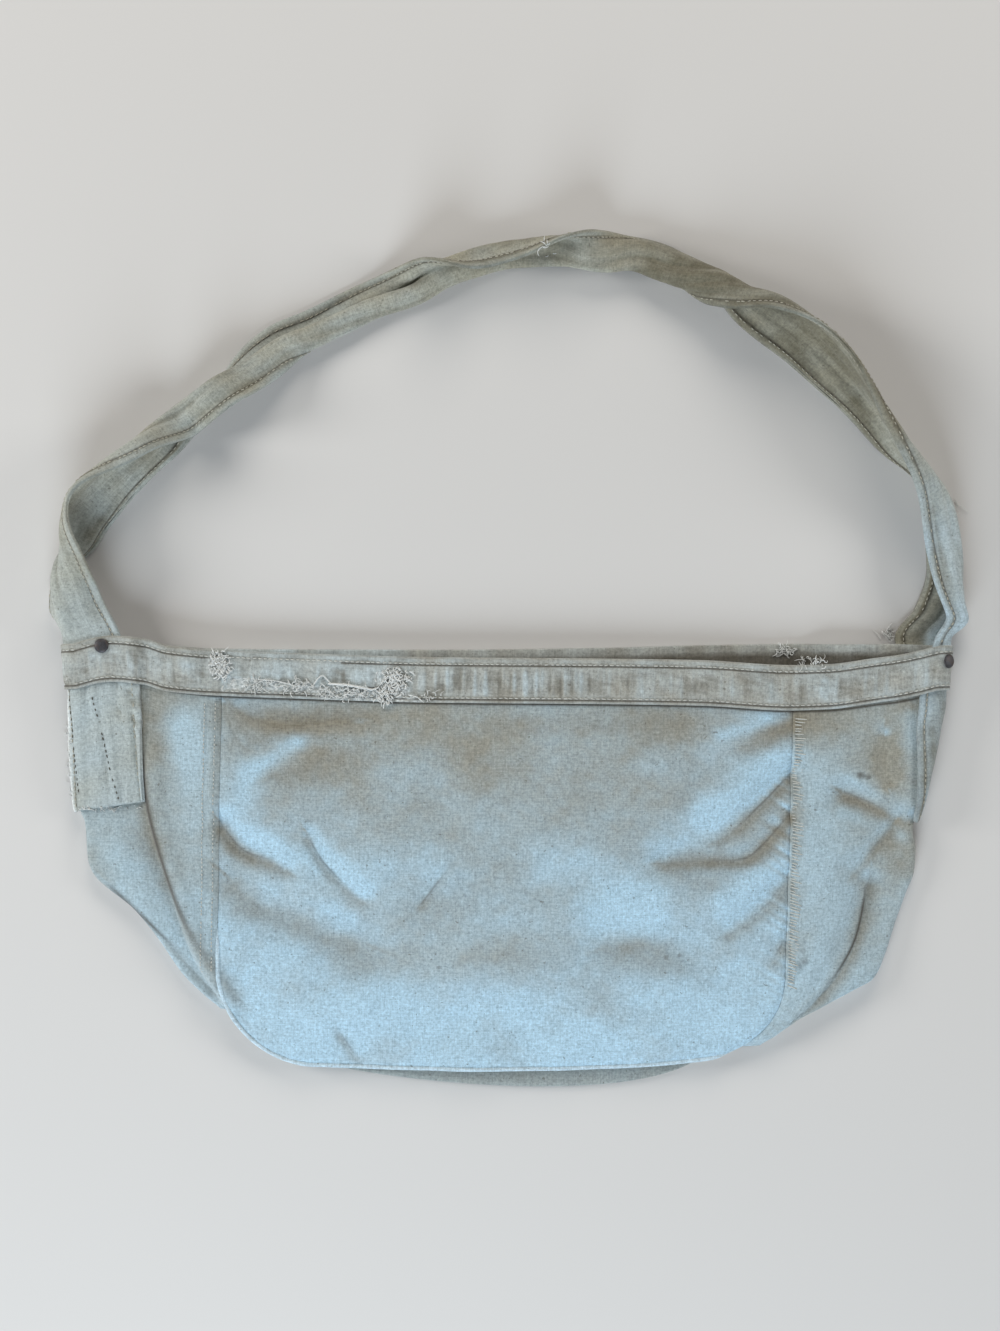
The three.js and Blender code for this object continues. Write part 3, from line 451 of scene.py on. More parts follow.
def mark(tree, name, output="Fac"):
    return add_node(tree, "ShaderNodeAttribute", attribute_name=name).outputs[output]


def stretched(tree, vector, scale):
    return add_node(tree, "ShaderNodeMapping", {"Vector": vector, "Scale": scale}).outputs[0]


def bumped(tree, height, strength, distance):
    settings = {"Height": height, "Strength": strength, "Distance": distance}
    return add_node(tree, "ShaderNodeBump", settings).outputs[0]


def new_material(name):
    material = bpy.data.materials.new(name)
    material.use_nodes = True
    tree = material.node_tree
    place = add_node(tree, "ShaderNodeTexCoord").outputs["Object"]
    return material, tree, tree.nodes["Principled BSDF"], place


# %% Woven canvas
YARN = 0.00078  # metres from one yarn to the next
LINE_WIDTH = 1.0  # millimetres from the middle of a crease's dark line to its edge
# Colour of the thin dark marks: painted shade along sharp creases, under the band and beside the band's
# stitches, the strap's stitch lines, and dirt spots.
LINE_COLOUR, SPECK_COLOUR = (0.055, 0.046, 0.034, 1), (0.09, 0.08, 0.06, 1)


def weave_height(tree, flat):
    parts = add_node(tree, "ShaderNodeSeparateXYZ", {0: flat})
    turns = [sums(tree, "MULTIPLY", parts.outputs[k], 2 * math.pi / YARN) for k in (0, 1)]
    waves = [sums(tree, "SINE", turn) for turn in turns]
    return sums(tree, "MULTIPLY", *waves)


def canvas(name, khaki, pale, dirt_and_shade, raw=(0.70, 0.73, 0.72), mottle=0.15, streak=0.50, grainy=1.30):
    material, tree, shader, place = new_material(name)
    flat = mark(tree, "cloth", "Vector")
    clouds = noise(tree, place, 34, 5, 0.6)
    blotches = noise(tree, place, 70, 5, 0.6)
    warp = noise(tree, stretched(tree, flat, (1250, 70, 1)), 1, 2)
    weft = noise(tree, stretched(tree, flat, (70, 1250, 1)), 1, 2)
    yarns = sums(tree, "ADD", warp, weft)

    cloudy = sums(tree, "MULTIPLY_ADD", clouds, 2 * mottle, -mottle)
    paleness = sums(tree, "ADD", mark(tree, "pale"), cloudy, clamp=True)
    colour = blend(tree, paleness, (*khaki, 1), (*pale, 1))
    patchy = sums(tree, "MULTIPLY_ADD", blotches, 0.6, 0.6)
    # The grime mark mixes in the dark colour: real dirt, and painted shade in creases, hollows, gaps and on
    # slopes turned from the lamp below.
    dirt_and_shade_share = sums(tree, "MULTIPLY", mark(tree, "grime_and_shade"), patchy, clamp=True)
    colour = blend(tree, dirt_and_shade_share, colour, (*dirt_and_shade, 1))
    colour = blend(tree, mark(tree, "raw"), colour, (*raw, 1))
    beside = sums(tree, "MULTIPLY", mark(tree, "line_side"), 1 / LINE_WIDTH)
    thin = sums(tree, "EXPONENT", sums(tree, "MULTIPLY", sums(tree, "MULTIPLY", beside, beside), -1.0))
    lined = sums(tree, "MULTIPLY", thin, mark(tree, "line_near"), clamp=True)
    colour = blend(tree, lined, colour, LINE_COLOUR)
    grain = noise(tree, place, 480, 3, 0.75)
    shade = sums(tree, "MULTIPLY_ADD", yarns, streak, 1 - streak - grainy / 2)
    shade = sums(tree, "MULTIPLY_ADD", grain, grainy, shade)
    colour = blend(tree, 1.0, colour, shade, "MULTIPLY")
    specks = sums(tree, "GREATER_THAN", noise(tree, place, 330, 1), 0.745)
    colour = blend(tree, sums(tree, "MULTIPLY", specks, 0.5), colour, SPECK_COLOUR)

    woven = sums(tree, "MULTIPLY_ADD", weave_height(tree, flat), 0.25, sums(tree, "MULTIPLY", yarns, 0.8))
    fuzz = sums(tree, "MULTIPLY_ADD", noise(tree, place, 1500, 3), 0.6, woven)
    feed(tree, shader, {
        "Base Color": colour, "Normal": bumped(tree, fuzz, 0.55, 0.00022), "Roughness": 0.93,
        "Specular IOR Level": 0.15, "Sheen Weight": 0.12, "Sheen Roughness": 0.6})
    return material


# The pale colours are blue-grey: bleached cloth with the cool light of the lamp below partly painted into
# them.
TAN = (0.200, 0.170, 0.116)
front_canvas = canvas("front_canvas", (0.284, 0.286, 0.250), (0.385, 0.552, 0.665), (0.188, 0.162, 0.112))
back_canvas = canvas("back_canvas", (0.230, 0.210, 0.160), (0.330, 0.360, 0.355), TAN)
gusset_canvas = canvas("gusset_canvas", (0.270, 0.268, 0.228), (0.375, 0.500, 0.570), TAN)
band_canvas = canvas("band_canvas", (0.345, 0.340, 0.300), (0.430, 0.500, 0.520), (0.172, 0.164, 0.136))
strap_canvas = canvas("strap_canvas", (0.330, 0.318, 0.250), (0.395, 0.490, 0.540), (0.138, 0.128, 0.090))
print(f"five canvases, a yarn every {YARN / MM:.2f} mm")


# %% Thread and iron
def thread(name, colour):
    material, tree, shader, place = new_material(name)
    strands = noise(tree, place, 1600, 3)
    dull = tuple(0.55 * part for part in colour)
    twisted = blend(tree, strands, (*dull, 1), (*colour, 1))
    bump = bumped(tree, strands, 0.6, 0.0002)
    feed(tree, shader, {"Base Color": twisted, "Normal": bump, "Roughness": 0.85})
    return material


def iron(name):
    material, tree, shader, place = new_material(name)
    pits = noise(tree, place, 700, 4, 0.7)
    rust = noise(tree, place, 260, 3)
    colour = blend(tree, pits, (0.028, 0.028, 0.032, 1), (0.115, 0.115, 0.125, 1))
    browned = sums(tree, "MULTIPLY_ADD", rust, 2.2, -1.05, clamp=True)
    colour = blend(tree, browned, colour, (0.095, 0.060, 0.040, 1))
    dulled = sums(tree, "MULTIPLY_ADD", pits, 0.35, 0.38)
    feed(tree, shader, {"Base Color": colour, "Roughness": dulled, "Metallic": 0.75,
                        "Normal": bumped(tree, pits, 0.5, 0.0003)})
    return material


pale_thread = thread("pale_thread", (0.66, 0.67, 0.62))
white_thread = thread("white_thread", (0.82, 0.84, 0.82))
khaki_thread = thread("khaki_thread", (0.52, 0.50, 0.41))
dark_thread = thread("dark_thread", (0.10, 0.095, 0.075))
rivet_iron = iron("rivet_iron")
print("four threads, one iron")

# %% [markdown]
# ## From grids to pieces
# A piece of cloth is a grid of points at mid thickness. Pushing the grid both ways along its normals gives
# two faces, and a rim closes them, so every piece is a solid with no loose edge. A Solidify modifier would
# do the same, but then the rim couldn't have a shape: the strap's rim needs a groove between its two layers.

# %% Make an object from points and faces
def make_piece(name, points, faces, slot, finish, marks=None):
    mesh = bpy.data.meshes.new(name)
    mesh.from_pydata((points * MM).tolist(), [], faces.tolist())
    for title, values in (marks or {}).items():
        values = np.asarray(values, np.float32)
        vector = values.ndim == 2
        layer = mesh.attributes.new(title, "FLOAT_VECTOR" if vector else "FLOAT", "POINT")
        layer.data.foreach_set("vector" if vector else "value", values.ravel())
    mesh.shade_smooth()
    mesh.materials.append(finish)
    piece = bpy.data.objects.new(name, mesh)
    bpy.context.collection.objects.link(piece)
    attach(piece, "root")
    print(f"{name}: {len(points)} points, {len(faces)} faces")
    return piece


# %% Close a grid into a cloth
ROUND_RIM = ((0.0, 0.35),)
SEWN_RIM = ((0.30, 0.45), (0.0, -0.55), (-0.30, 0.45))


def grid_normals(grid):
    return unit(np.cross(np.gradient(grid, axis=0), np.gradient(grid, axis=1)))


def rim_loop(rows, columns):
    corner = np.arange(rows * columns).reshape(rows, columns)
    return np.concatenate([corner[:-1, 0], corner[-1, :-1], corner[:0:-1, -1], corner[0, :0:-1]])


def cloth_mesh(grid, normals, thickness, rim):
    rows, columns = grid.shape[:2]
    count = rows * columns
    middle, up = grid.reshape(-1, 3), normals.reshape(-1, 3)
    loop = rim_loop(rows, columns)
    ahead = np.roll(middle[loop], -1, axis=0) - np.roll(middle[loop], 1, axis=0)
    outward = unit(np.cross(ahead, up[loop]))
    rims = [middle[loop] + thickness * (share * up[loop] + push * outward) for share, push in rim]
    points = np.concatenate([middle + up * thickness / 2, middle - up * thickness / 2, *rims])

    corner = np.arange(count).reshape(rows, columns)
    top = np.stack([corner[:-1, :-1], corner[1:, :-1], corner[1:, 1:], corner[:-1, 1:]], -1).reshape(-1, 4)
    rings = [loop, *(2 * count + k * len(loop) + np.arange(len(loop)) for k in range(len(rim))), count + loop]
    walls = [np.stack([np.roll(a, -1), a, b, np.roll(b, -1)], -1) for a, b in zip(rings, rings[1:])]
    faces = np.concatenate([top, (top + count)[:, ::-1], *walls])
    return points, faces, loop


def make_cloth(name, grid, normals, thickness, slot, finish, marks, rim=ROUND_RIM):
    points, faces, loop = cloth_mesh(grid, normals, thickness, rim)

    def spread(values):
        flat = values.reshape(-1, *values.shape[2:])
        return np.concatenate([flat, flat, *([flat[loop]] * len(rim))])

    spread_marks = {title: spread(values) for title, values in marks.items()}
    return make_piece(name, points, faces, slot, finish, spread_marks)


# %% Stitches: short round bars along a line, each a little different from the next
BAR_SHAPE = np.array([0.05, 0.7, 1.0, 1.0, 0.7, 0.05])
BAR_PLACES = np.array([-0.5, -0.42, -0.2, 0.2, 0.42, 0.5])
TUBE_SIDES = 6
UPWARD = np.array([0.0, 0.0, 1.0])
LOWEST = 0.05  # millimetres above the floor


def tube_mesh(paths, ups, radius, shape, sides=TUBE_SIDES):
    ahead = np.gradient(paths, axis=1)
    aside = unit(np.cross(ahead, ups))
    above = unit(np.cross(aside, ahead))
    turn = (np.arange(sides) * 2 * math.pi / sides)[:, None]
    ring = np.cos(turn) * aside[..., None, :] + np.sin(turn) * above[..., None, :]
    size = np.broadcast_to(radius, len(paths))[:, None] * shape
    points = (paths[:, :, None] + ring * size[..., None, None]).reshape(-1, 3)
    count = paths.shape[1]
    corner = np.arange(count * sides).reshape(count, sides)
    after = np.roll(corner, -1, axis=1)
    walls = np.stack([corner[:-1], after[:-1], after[1:], corner[1:]], -1).reshape(-1, 4)
    caps = [(i, i + 1, sides - 2 - i, sides - 1 - i) for i in range(sides // 2 - 1)]
    caps = np.concatenate([np.array(caps)[:, ::-1], np.array(caps) + (count - 1) * sides])
    faces = np.concatenate([walls, caps])[None] + (np.arange(len(paths)) * count * sides)[:, None, None]
    return points, faces.reshape(-1, 4)


def bar_mesh(starts, ends, ups, radius):
    paths = mix(starts, ends, 0.5)[:, None] + (ends - starts)[:, None] * BAR_PLACES[:, None]
    return tube_mesh(paths, ups[:, None], radius, BAR_SHAPE)


def along_path(path, ups, spots):
    runs = runs_along(path)
    return along_run(path, runs, spots), along_run(ups, runs, spots)


def stitch_bars(path, ups, pitch, length, radius, sink, seed, skip):
    draw = np.random.default_rng(seed)
    total = np.linalg.norm(np.diff(path, axis=0), axis=1).sum()
    spots = np.arange(pitch, total - pitch, pitch)
    spots = spots + draw.uniform(-0.12, 0.12, len(spots)) * pitch
    spots = spots[draw.random(len(spots)) >= skip]
    reach = length * draw.uniform(0.85, 1.1, len(spots)) / 2
    (starts, up), (ends, _) = along_path(path, ups, spots - reach), along_path(path, ups, spots + reach)
    aside = unit(np.cross(ends - starts, up))
    lean = aside * draw.normal(0, 0.06, len(spots))[:, None] * length
    lift = up * (radius - sink)
    thick = radius * draw.uniform(0.85, 1.15, len(spots))
    return bar_mesh(starts + lift - lean, ends + lift + lean, up, thick)


def join_meshes(parts):
    starts = np.cumsum([0] + [len(points) for points, _ in parts[:-1]])
    points = np.concatenate([points for points, _ in parts])
    points[:, 2] = np.maximum(points[:, 2], LOWEST)
    return points, np.concatenate([faces + start for (_, faces), start in zip(parts, starts)])


# %% [markdown]
# ## Stains, painted light and painted shade
# The front is pale at the bottom and tan at the top, with clouds of both. They are written as short lists of
# soft patches, streaks and spots, plus the stain of each crease, which is partly dirt and partly painted
# shade.
# Their strength was set by comparing the average lightness of regions. Painting them by hand on a texture
# would be finer, but these follow the cloth at any resolution.

# %% Patches of paler and of tanner cloth: partly bleached and dirty cloth, partly painted light and shade
PALE_PATCHES = table("x y wide high amount", [
    (-200, -98, 14, 26, 0.55), (-181, -134, 12, 9, 0.10), (-122, -153, 30, 14, 0.35),
    (-188, -210, 28, 18, 0.25), (-122, -199, 16, 8, 0.25), (-164, -60, 36, 6, 0.35),
    (147, -111, 24, 30, 0.35), (186, -80, 28, 14, 0.40), (188, -43, 20, 5, 0.40), (93, -179, 22, 18, 0.30),
    (-242, -62, 17, 30, 0.45), (242, -130, 20, 26, 0.40), (282, -72, 9, 26, -0.30), (302, -60, 6, 34, 0.40),
    (240, -185, 18, 34, 0.35), (38, -152, 62, 16, 0.20), (150, -272, 70, 22, 0.15),
    (-60, -282, 130, 22, 0.20), (-296, -150, 24, 30, 0.15), (245, -78, 18, 28, 0.35),
    (-45, -226, 60, 24, -0.48), (38, -209, 48, 18, -0.32), (-140, -50, 34, 10, -0.30),
    (106, -78, 24, 14, 0.35), (-148, -106, 24, 14, 0.30), (190, -212, 22, 16, 0.25),
    (-234, -130, 14, 90, 0.42), (-256, -122, 16, 50, 0.30), (233, -110, 16, 36, 0.30),
    (-130, -175, 50, 16, -0.12), (226, -130, 12, 80, 0.18), (292, -120, 14, 80, -0.20),
    (-278, -124, 18, 56, 0.22),
])
TAN_PATCHES = table("x y wide high amount", [
    (-152, -45, 48, 8, 1.05), (-194, -62, 16, 9, 0.35), (-64, -116, 26, 30, 0.10), (121, -46, 46, 11, 0.50),
    (131, -106, 8, 7, 0.40), (93, -127, 16, 10, 0.28), (88, -218, 18, 8, 0.30), (147, -150, 34, 8, 0.75),
    (145, -170, 18, 9, 0.50), (195, -54, 13, 7, 0.50), (30, -48, 70, 11, 0.40), (112, -226, 40, 16, 0.28),
    (-40, -180, 42, 15, 0.25), (22, -226, 40, 16, 0.30), (-106, -226, 30, 12, 0.22),
    (-272, -142, 26, 12, 0.50), (-262, -40, 14, 24, 0.45), (296, -156, 8, 7, 0.40),
    (246, -222, 12, 18, 0.30),
])
STREAKS = table("x0 y0 x1 y1 wide amount", [
    (209, -44, 160, -58, 5, 0.38), (211, -70, 150, -116, 12, 0.50), (-198, -86, -160, -63, 6, 0.50),
    (-150, -146, -112, -172, 9, 0.40), (206, -150, 160, -182, 8, 0.30), (-190, -138, -168, -146, 7, 0.35),
    (252, -116, 296, -133, 6, 0.45), (250, -178, 228, -250, 8, 0.30), (-252, -50, -240, -95, 12, 0.35),
    (110, -172, 60, -190, 14, 0.30), (-300, -150, -262, -196, 12, 0.20),
])
SPOTS = table("x y wide amount", [
    (117.9, -225.3, 2.4, 0.5), (127.8, -223.8, 2.2, 0.5), (118.7, -202.6, 1.8, 0.4),
    (122.5, -210.9, 1.8, 0.3), (126.3, -235.9, 1.8, 0.3), (-53.7, -232.8, 2.4, 0.5),
    (264.6, -87.7, 2.8, 0.8), (270.6, -89.2, 2.4, 0.7), (217, -232.1, 4.5, 0.35), (222, -228, 3.5, 0.35),
    (221, -220, 2.6, 0.3), (277.5, -241.2, 2.8, 0.6), (-20, -120, 1.6, 0.3), (60, -75, 1.6, 0.3),
    (-96, -160, 1.6, 0.3), (170, -96, 1.6, 0.3), (20, -262, 1.6, 0.3),
])
SPOTS["high"] = SPOTS["wide"]
print(f"{len(PALE_PATCHES['x'])} pale patches, {len(TAN_PATCHES['x'])} tan ones, {len(SPOTS['x'])} spots")


def patches(x, y, columns):
    total = np.zeros(np.broadcast(x, y).shape)
    for row in rows_of(columns):
        aside, above = (x - row["x"]) / row["wide"], (y - row["y"]) / row["high"]
        total += row["amount"] * np.exp(-aside ** 2 - above ** 2)
    return total


# Tan along each crease, shifted to its steep side: partly dirt and partly painted shade.
def crease_dirt_and_shade(x, y):
    total = np.zeros(np.broadcast(x, y).shape)
    for row in CREASES:
        side, share = near_path(x, y, row)
        total += row["tan"] * (1 - 0.4 * share) * np.exp(-((side / row["wide"] + 0.5) / 1.4) ** 2)
    return total


# Thin dark lines: painted shade along the sharp creases, a painted shadow below the band's lower edge, and
# dirt spots.
def crease_lines(x, y):
    near, nearest = np.zeros(np.broadcast(x, y).shape), np.full(np.broadcast(x, y).shape, FAR)
    for row in CREASES:
        if row["crisp"]:
            side, share = near_path(x, y, row)
            closer = abs(side) < abs(nearest)
            strength = 0.6 * row["crisp"] * smooth((1 - share) * 1.8) * smooth(share * 8 + 0.3)
            near = np.where(closer, strength * np.exp(-(side / 6) ** 4), near)
            nearest = np.where(closer, side / row["broad"], nearest)
    # Painted shadow: a dark line just below the band's lower edge.
    below_band = y - mouth_front(x) + HEM_CAP + BAND_DEPTH + 0.7
    closer = abs(below_band) < abs(nearest)
    near = np.where(closer, 0.85 * np.exp(-(below_band / 6) ** 4), near)
    nearest = np.where(closer, below_band, nearest)
    dots = np.clip(patches(x, y, SPOTS), 0, 1)
    near, nearest = np.maximum(near, dots), nearest * (1 - np.clip(9 * dots, 0, 1))
    return {"line_near": near, "line_side": np.clip(nearest, -20, 20)}


def window_side(x, y, step=1.5):
    above, below = (crease_relief(x, y + k, 0.4) + fold_relief(x, y + k) for k in (step, -step))
    return (above - below) / (2 * step)


def wear_and_painted_light(x, y):
    # Paler and bluer towards the bottom, tanner at the top: partly bleaching and handling, partly the cool
    # light of the lamp below painted in.
    washed_and_lit = mix(0.16, 0.88, smooth((-50 - y) / 215))
    clouds = 0.12 * ripple(x, y, 75, 11) + 0.05 * ripple(x, y, 28, 13) + 0.03 * ripple(x, y, 11, 14)
    # Painted light and shade: slopes turned to the lamp below are painted paler, slopes turned away are
    # painted grimier.
    lit = window_side(x, y)
    streaks = soft_lines(x, y, STREAKS)
    pale = washed_and_lit + patches(x, y, PALE_PATCHES) + streaks + clouds + 1.7 * np.maximum(lit, 0)
    grime_and_shade = 0.8 * patches(x, y, TAN_PATCHES) + 0.65 * crease_dirt_and_shade(x, y) - 0.5 * clouds
    grime_and_shade = np.tanh(np.maximum(grime_and_shade + 1.1 * np.maximum(-lit, 0) - 0.5 * streaks, 0))
    return {"pale": np.clip(pale, 0, 1), "grime_and_shade": np.clip(grime_and_shade, 0, 1), "raw": np.zeros(np.shape(pale)),
            **crease_lines(x, y)}


def flat_place(x, y):
    return np.stack([x * MM, y * MM, np.zeros(np.shape(x))], -1)


# %% [markdown]
# ## Front and back
# Each panel is one flat cloth, cut with rounded lower corners. A rectangle of points can't follow those, so
# the grid is a patch blended from its four sides: the mouth, the two seams and the bottom. The cloth turns
# down at the seams, which leaves the dark line that a sewn edge shows.

# %% Blend a grid between the mouth and the seam
def panel_grid(seam, mouth, columns, rows):
    total, ends = seam["length"], seam["ends"]
    left_corner, right_corner = (ends[0] + ends[1]) / 2 / total, (ends[2] + ends[3]) / 2 / total
    s, t = np.linspace(0, 1, columns)[None, :, None], np.linspace(0, 1, rows)[:, None, None]
    top_x = mix(LEFT_TOP, RIGHT_TOP, s[0, :, 0])
    top = np.stack([top_x, mouth(top_x) - HEM_CAP], -1)[None]
    bottom = on_seam(seam, mix(left_corner, right_corner, s[0, :, 0]))[None]
    left = on_seam(seam, mix(0, left_corner, t[:, 0, 0]))[:, None]
    right = on_seam(seam, mix(1, right_corner, t[:, 0, 0]))[:, None]
    corners = mix(mix(top[:, :1], top[:, -1:], s), mix(bottom[:, :1], bottom[:, -1:], s), t)
    return mix(left, right, s) + mix(top, bottom, t) - corners


def seam_distance(x, y, seam):
    points = seam["points"]
    best = np.full(np.shape(x), FAR)
    for (ax, ay), (bx, by) in zip(points, points[1:]):
        if (ax, ay) != (bx, by):
            best = np.minimum(best, near_line(x, y, {"x0": ax, "y0": ay, "x1": bx, "y1": by})[0])
    return best


def lay(x, y, height, step=0.6):
    slope_x = (height(x + step, y) - height(x - step, y)) / (2 * step)
    slope_y = (height(x, y + step) - height(x, y - step)) / (2 * step)
    normals = np.stack([-slope_x, -slope_y, np.ones(np.shape(x))], -1)
    return np.stack([x, y, height(x, y)], -1), unit(normals)


# %% The front
EDGE_TURN, EDGE_WIDTH = 1.3, 2.6
FRONT_COLUMNS, FRONT_ROWS = 218, 158

plan = panel_grid(front_seam, mouth_front, FRONT_COLUMNS, FRONT_ROWS)
front_x, front_y = plan[..., 0], plan[..., 1]
front_points, front_normals = lay(front_x, front_y, front_height)
front_edge = seam_distance(front_x, front_y, front_seam)
front_points[..., 2] -= EDGE_TURN * np.exp(-(front_edge / EDGE_WIDTH) ** 2)
front_marks = {"cloth": flat_place(front_x, front_y), **wear_and_painted_light(front_x, front_y)}
front_cloth = make_cloth("front_cloth", front_points, front_normals, CANVAS, "canvas_front", front_canvas,
                         front_marks)
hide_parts("front_panel")

# %% The back
BACK_COLUMNS, BACK_ROWS = 110, 80

plan = panel_grid(back_seam, mouth_back, BACK_COLUMNS, BACK_ROWS)[:, ::-1]
back_x, back_y = plan[..., 0], plan[..., 1]
back_points, back_normals = lay(back_x, back_y, back_height)
back_marks = {"cloth": flat_place(back_x, back_y), **wear_and_painted_light(back_x, back_y)}
back_cloth = make_cloth("back_cloth", back_points, -back_normals, CANVAS, "canvas_back", back_canvas,
                        back_marks)
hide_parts("back_panel")

# %% [markdown]
# ## Side gussets
# Each side of the gusset strip is folded outward into a wing: an upper leaf in line with the front, a round
# fold, and a lower leaf on the floor. The wing is a loft of sections down the seam. Where the strap's end is
# sewn on, its fold is set back, so that the strap and band outside it have room. At its lower end the two
# leaves are pinched shut, as the seam there holds them.

# %% Where the fold of each wing runs, and what covers it
BARE = CANVAS / 2
TAB = BARE + STRAP_GAP + STRAP_CLOTH
BAND = TAB + STRAP_GAP + HEM_CLOTH
FOLD_SHARE = 0.45
LEFT_WING = table("down x y cover", [
    (0, -340, 10, BAND), (32, -337, -22, BAND), (46, -335, -42, TAB), (116, -333, -110, TAB),
    (132, -323.6, -124, BARE), (158, -321.3, -152, BARE), (170, -317, -163, BARE), (195, -286, -190, BARE),
    (220, -268, -212, BARE), (245, -248.7, -239.7, BARE), (262, -232, -256, BARE), (272, -221, -266, BARE),
])
RIGHT_WING = table("down x y cover", [
    (0, 335, 9.6, BAND), (32, 332.5, -22, BAND), (46, 329.5, -38, TAB), (100, 317.5, -97, TAB),
    (122, 311.5, -119, TAB), (134, 306, -132, BARE), (146, 308.4, -144.4, BARE), (163, 307.7, -160, BARE),
    (181, 301.3, -178, BARE), (203, 293.3, -200, BARE), (228, 284.3, -227, BARE), (243, 276.7, -242, BARE),
    (253, 262, -250, BARE), (264, 240, -262, BARE), (276, 218, -274, BARE), (300, 191, -294, BARE),
])
LEAF = np.linspace(0, 1, 61)
UNDER_LEAF = np.linspace(0, 1, 31)
FOLD_TURN = np.linspace(0, math.pi, 23)[1:-1, None]
FOLD_START = len(LEAF) - 1


def wing_lines(rows, side):
    lines = {name: through(rows["down"], rows[name]) for name in ("x", "y", "cover")}
    return {"side": side, "end": rows["down"][-1], **lines}


# %% One section of a wing, from the front seam over the fold to the back seam
def wing_section(wing, down):
    share = down / front_seam["length"]
    share = share if wing["side"] < 0 else 1 - share
    inner, under = on_seam(front_seam, share, SEAM_GAP), on_seam(back_seam, share, SEAM_GAP)
    edge = np.array([wing["x"](down), wing["y"](down)])
    out = unit(edge - inner)
    edge = edge - out * wing["cover"](down)
    half_rise = (front_height(*edge) - back_height(*edge)) / 2
    reach = min(half_rise, FOLD_SHARE * np.linalg.norm(edge - inner))
    bend = edge - out * reach
    start = LEFT_TOP if wing["side"] < 0 else RIGHT_TOP
    follow = 1 - smooth((down - BAND_DEPTH) / 60)

    def leaf(a, b, shares, mouth, height):
        spot = a + (b - a) * shares[:, None]
        chord = mix(mouth(start), mouth(bend[0]), np.clip((spot[:, 0] - start) / (bend[0] - start), 0, 1))
        y = spot[:, 1] + follow * (mouth(spot[:, 0]) - chord)
        return np.stack([spot[:, 0], y, height(spot[:, 0], y)], -1)

    upper = leaf(inner, bend, LEAF, mouth_front, front_height)
    lower = leaf(bend, under, UNDER_LEAF, mouth_back, back_height)
    bulge = reach * np.sin(FOLD_TURN) * np.array([*out, 0])
    fold = mix(upper[-1], lower[0], (1 - np.cos(FOLD_TURN)) / 2) + bulge
    return np.concatenate([upper, fold, lower])


# %% Whole wings, with the cloth turned down at the front seam
WING_STEP, BAND_SECTIONS = 1.9, 14
WING_PALE = 0.92
WING_PINCH = 11.0  # millimetres at the lower end, where the two leaves close on each other


def make_wing(rows, side):
    wing = wing_lines(rows, side)
    below_band = int((wing["end"] - BAND_DEPTH) / WING_STEP)
    wing["downs"] = np.r_[np.linspace(0, BAND_DEPTH, BAND_SECTIONS)[:-1],
                          np.linspace(BAND_DEPTH, wing["end"], below_band)]
    wing["sections"] = np.array([wing_section(wing, down) for down in wing["downs"]])
    high = wing["sections"][..., 2]
    low, top = high.min(axis=1, keepdims=True), high.max(axis=1, keepdims=True)
    pinched = smooth((wing["downs"] - wing["end"]) / WING_PINCH + 1)[:, None]
    wing["sections"][..., 2] = low + (high - low) * mix(1, (CANVAS + LAYER_GAP) / (top - low), pinched)
    wing["normals"] = side * grid_normals(wing["sections"])
    return wing


def make_wing_cloth(name, wing):
    points = wing["sections"].copy()
    steps = np.linalg.norm(np.diff(points, axis=1), axis=2)
    run = np.concatenate([np.zeros((len(points), 1)), np.cumsum(steps, axis=1)], axis=1)
    points[..., 2] -= EDGE_TURN * np.exp(-(run / EDGE_WIDTH) ** 2)
    marks = wear_and_painted_light(points[..., 0], points[..., 1])
    marks["pale"] *= WING_PALE
    marks["cloth"] = flat_place(run, np.broadcast_to(wing["downs"][:, None], run.shape))
    order = slice(None, None, wing["side"])
    marks = {title: values[:, order] for title, values in marks.items()}
    grid, normals = points[:, order], wing["normals"][:, order]
    return make_cloth(name, grid, normals, CANVAS, "canvas_gusset", gusset_canvas, marks)


wings = {"left": make_wing(LEFT_WING, -1), "right": make_wing(RIGHT_WING, 1)}
left_wing = make_wing_cloth("left_wing", wings["left"])
right_wing = make_wing_cloth("right_wing", wings["right"])
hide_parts("gusset_left")
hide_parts("gusset_right")

# %% [markdown]
# ## Bottom gusset
# Between the wings the gusset is tucked inward as a pleat, so that front and back lie on each other. Only its
# lower edge shows below the front. It is lofted like the wings, and its upper leaf follows the creases above
# it. Its ends lap behind the pinched ends of the wings, which closes the lower corners.

# %% The pleat
PLEAT_DEPTH, PLEAT_EASE, PLEAT_CLEAR = 85.0, 220.0, 4.0
PLEAT_LAP = 6.0  # millimetres that each end reaches behind the pinched end of a wing
PLEAT_LEAF, PLEAT_TURN = np.linspace(0, 1, 25), np.linspace(0, math.pi, 11)[1:-1, None]
PLEAT_ROWS = 150
# The pleat's edge is less pale and grimier: partly its own khaki and dirt, partly painted shade below the
# front's edge.
PLEAT_PALE, PLEAT_GRIME_AND_SHADE = 0.4, 0.12
LAYER_STEP = CANVAS + LAYER_GAP


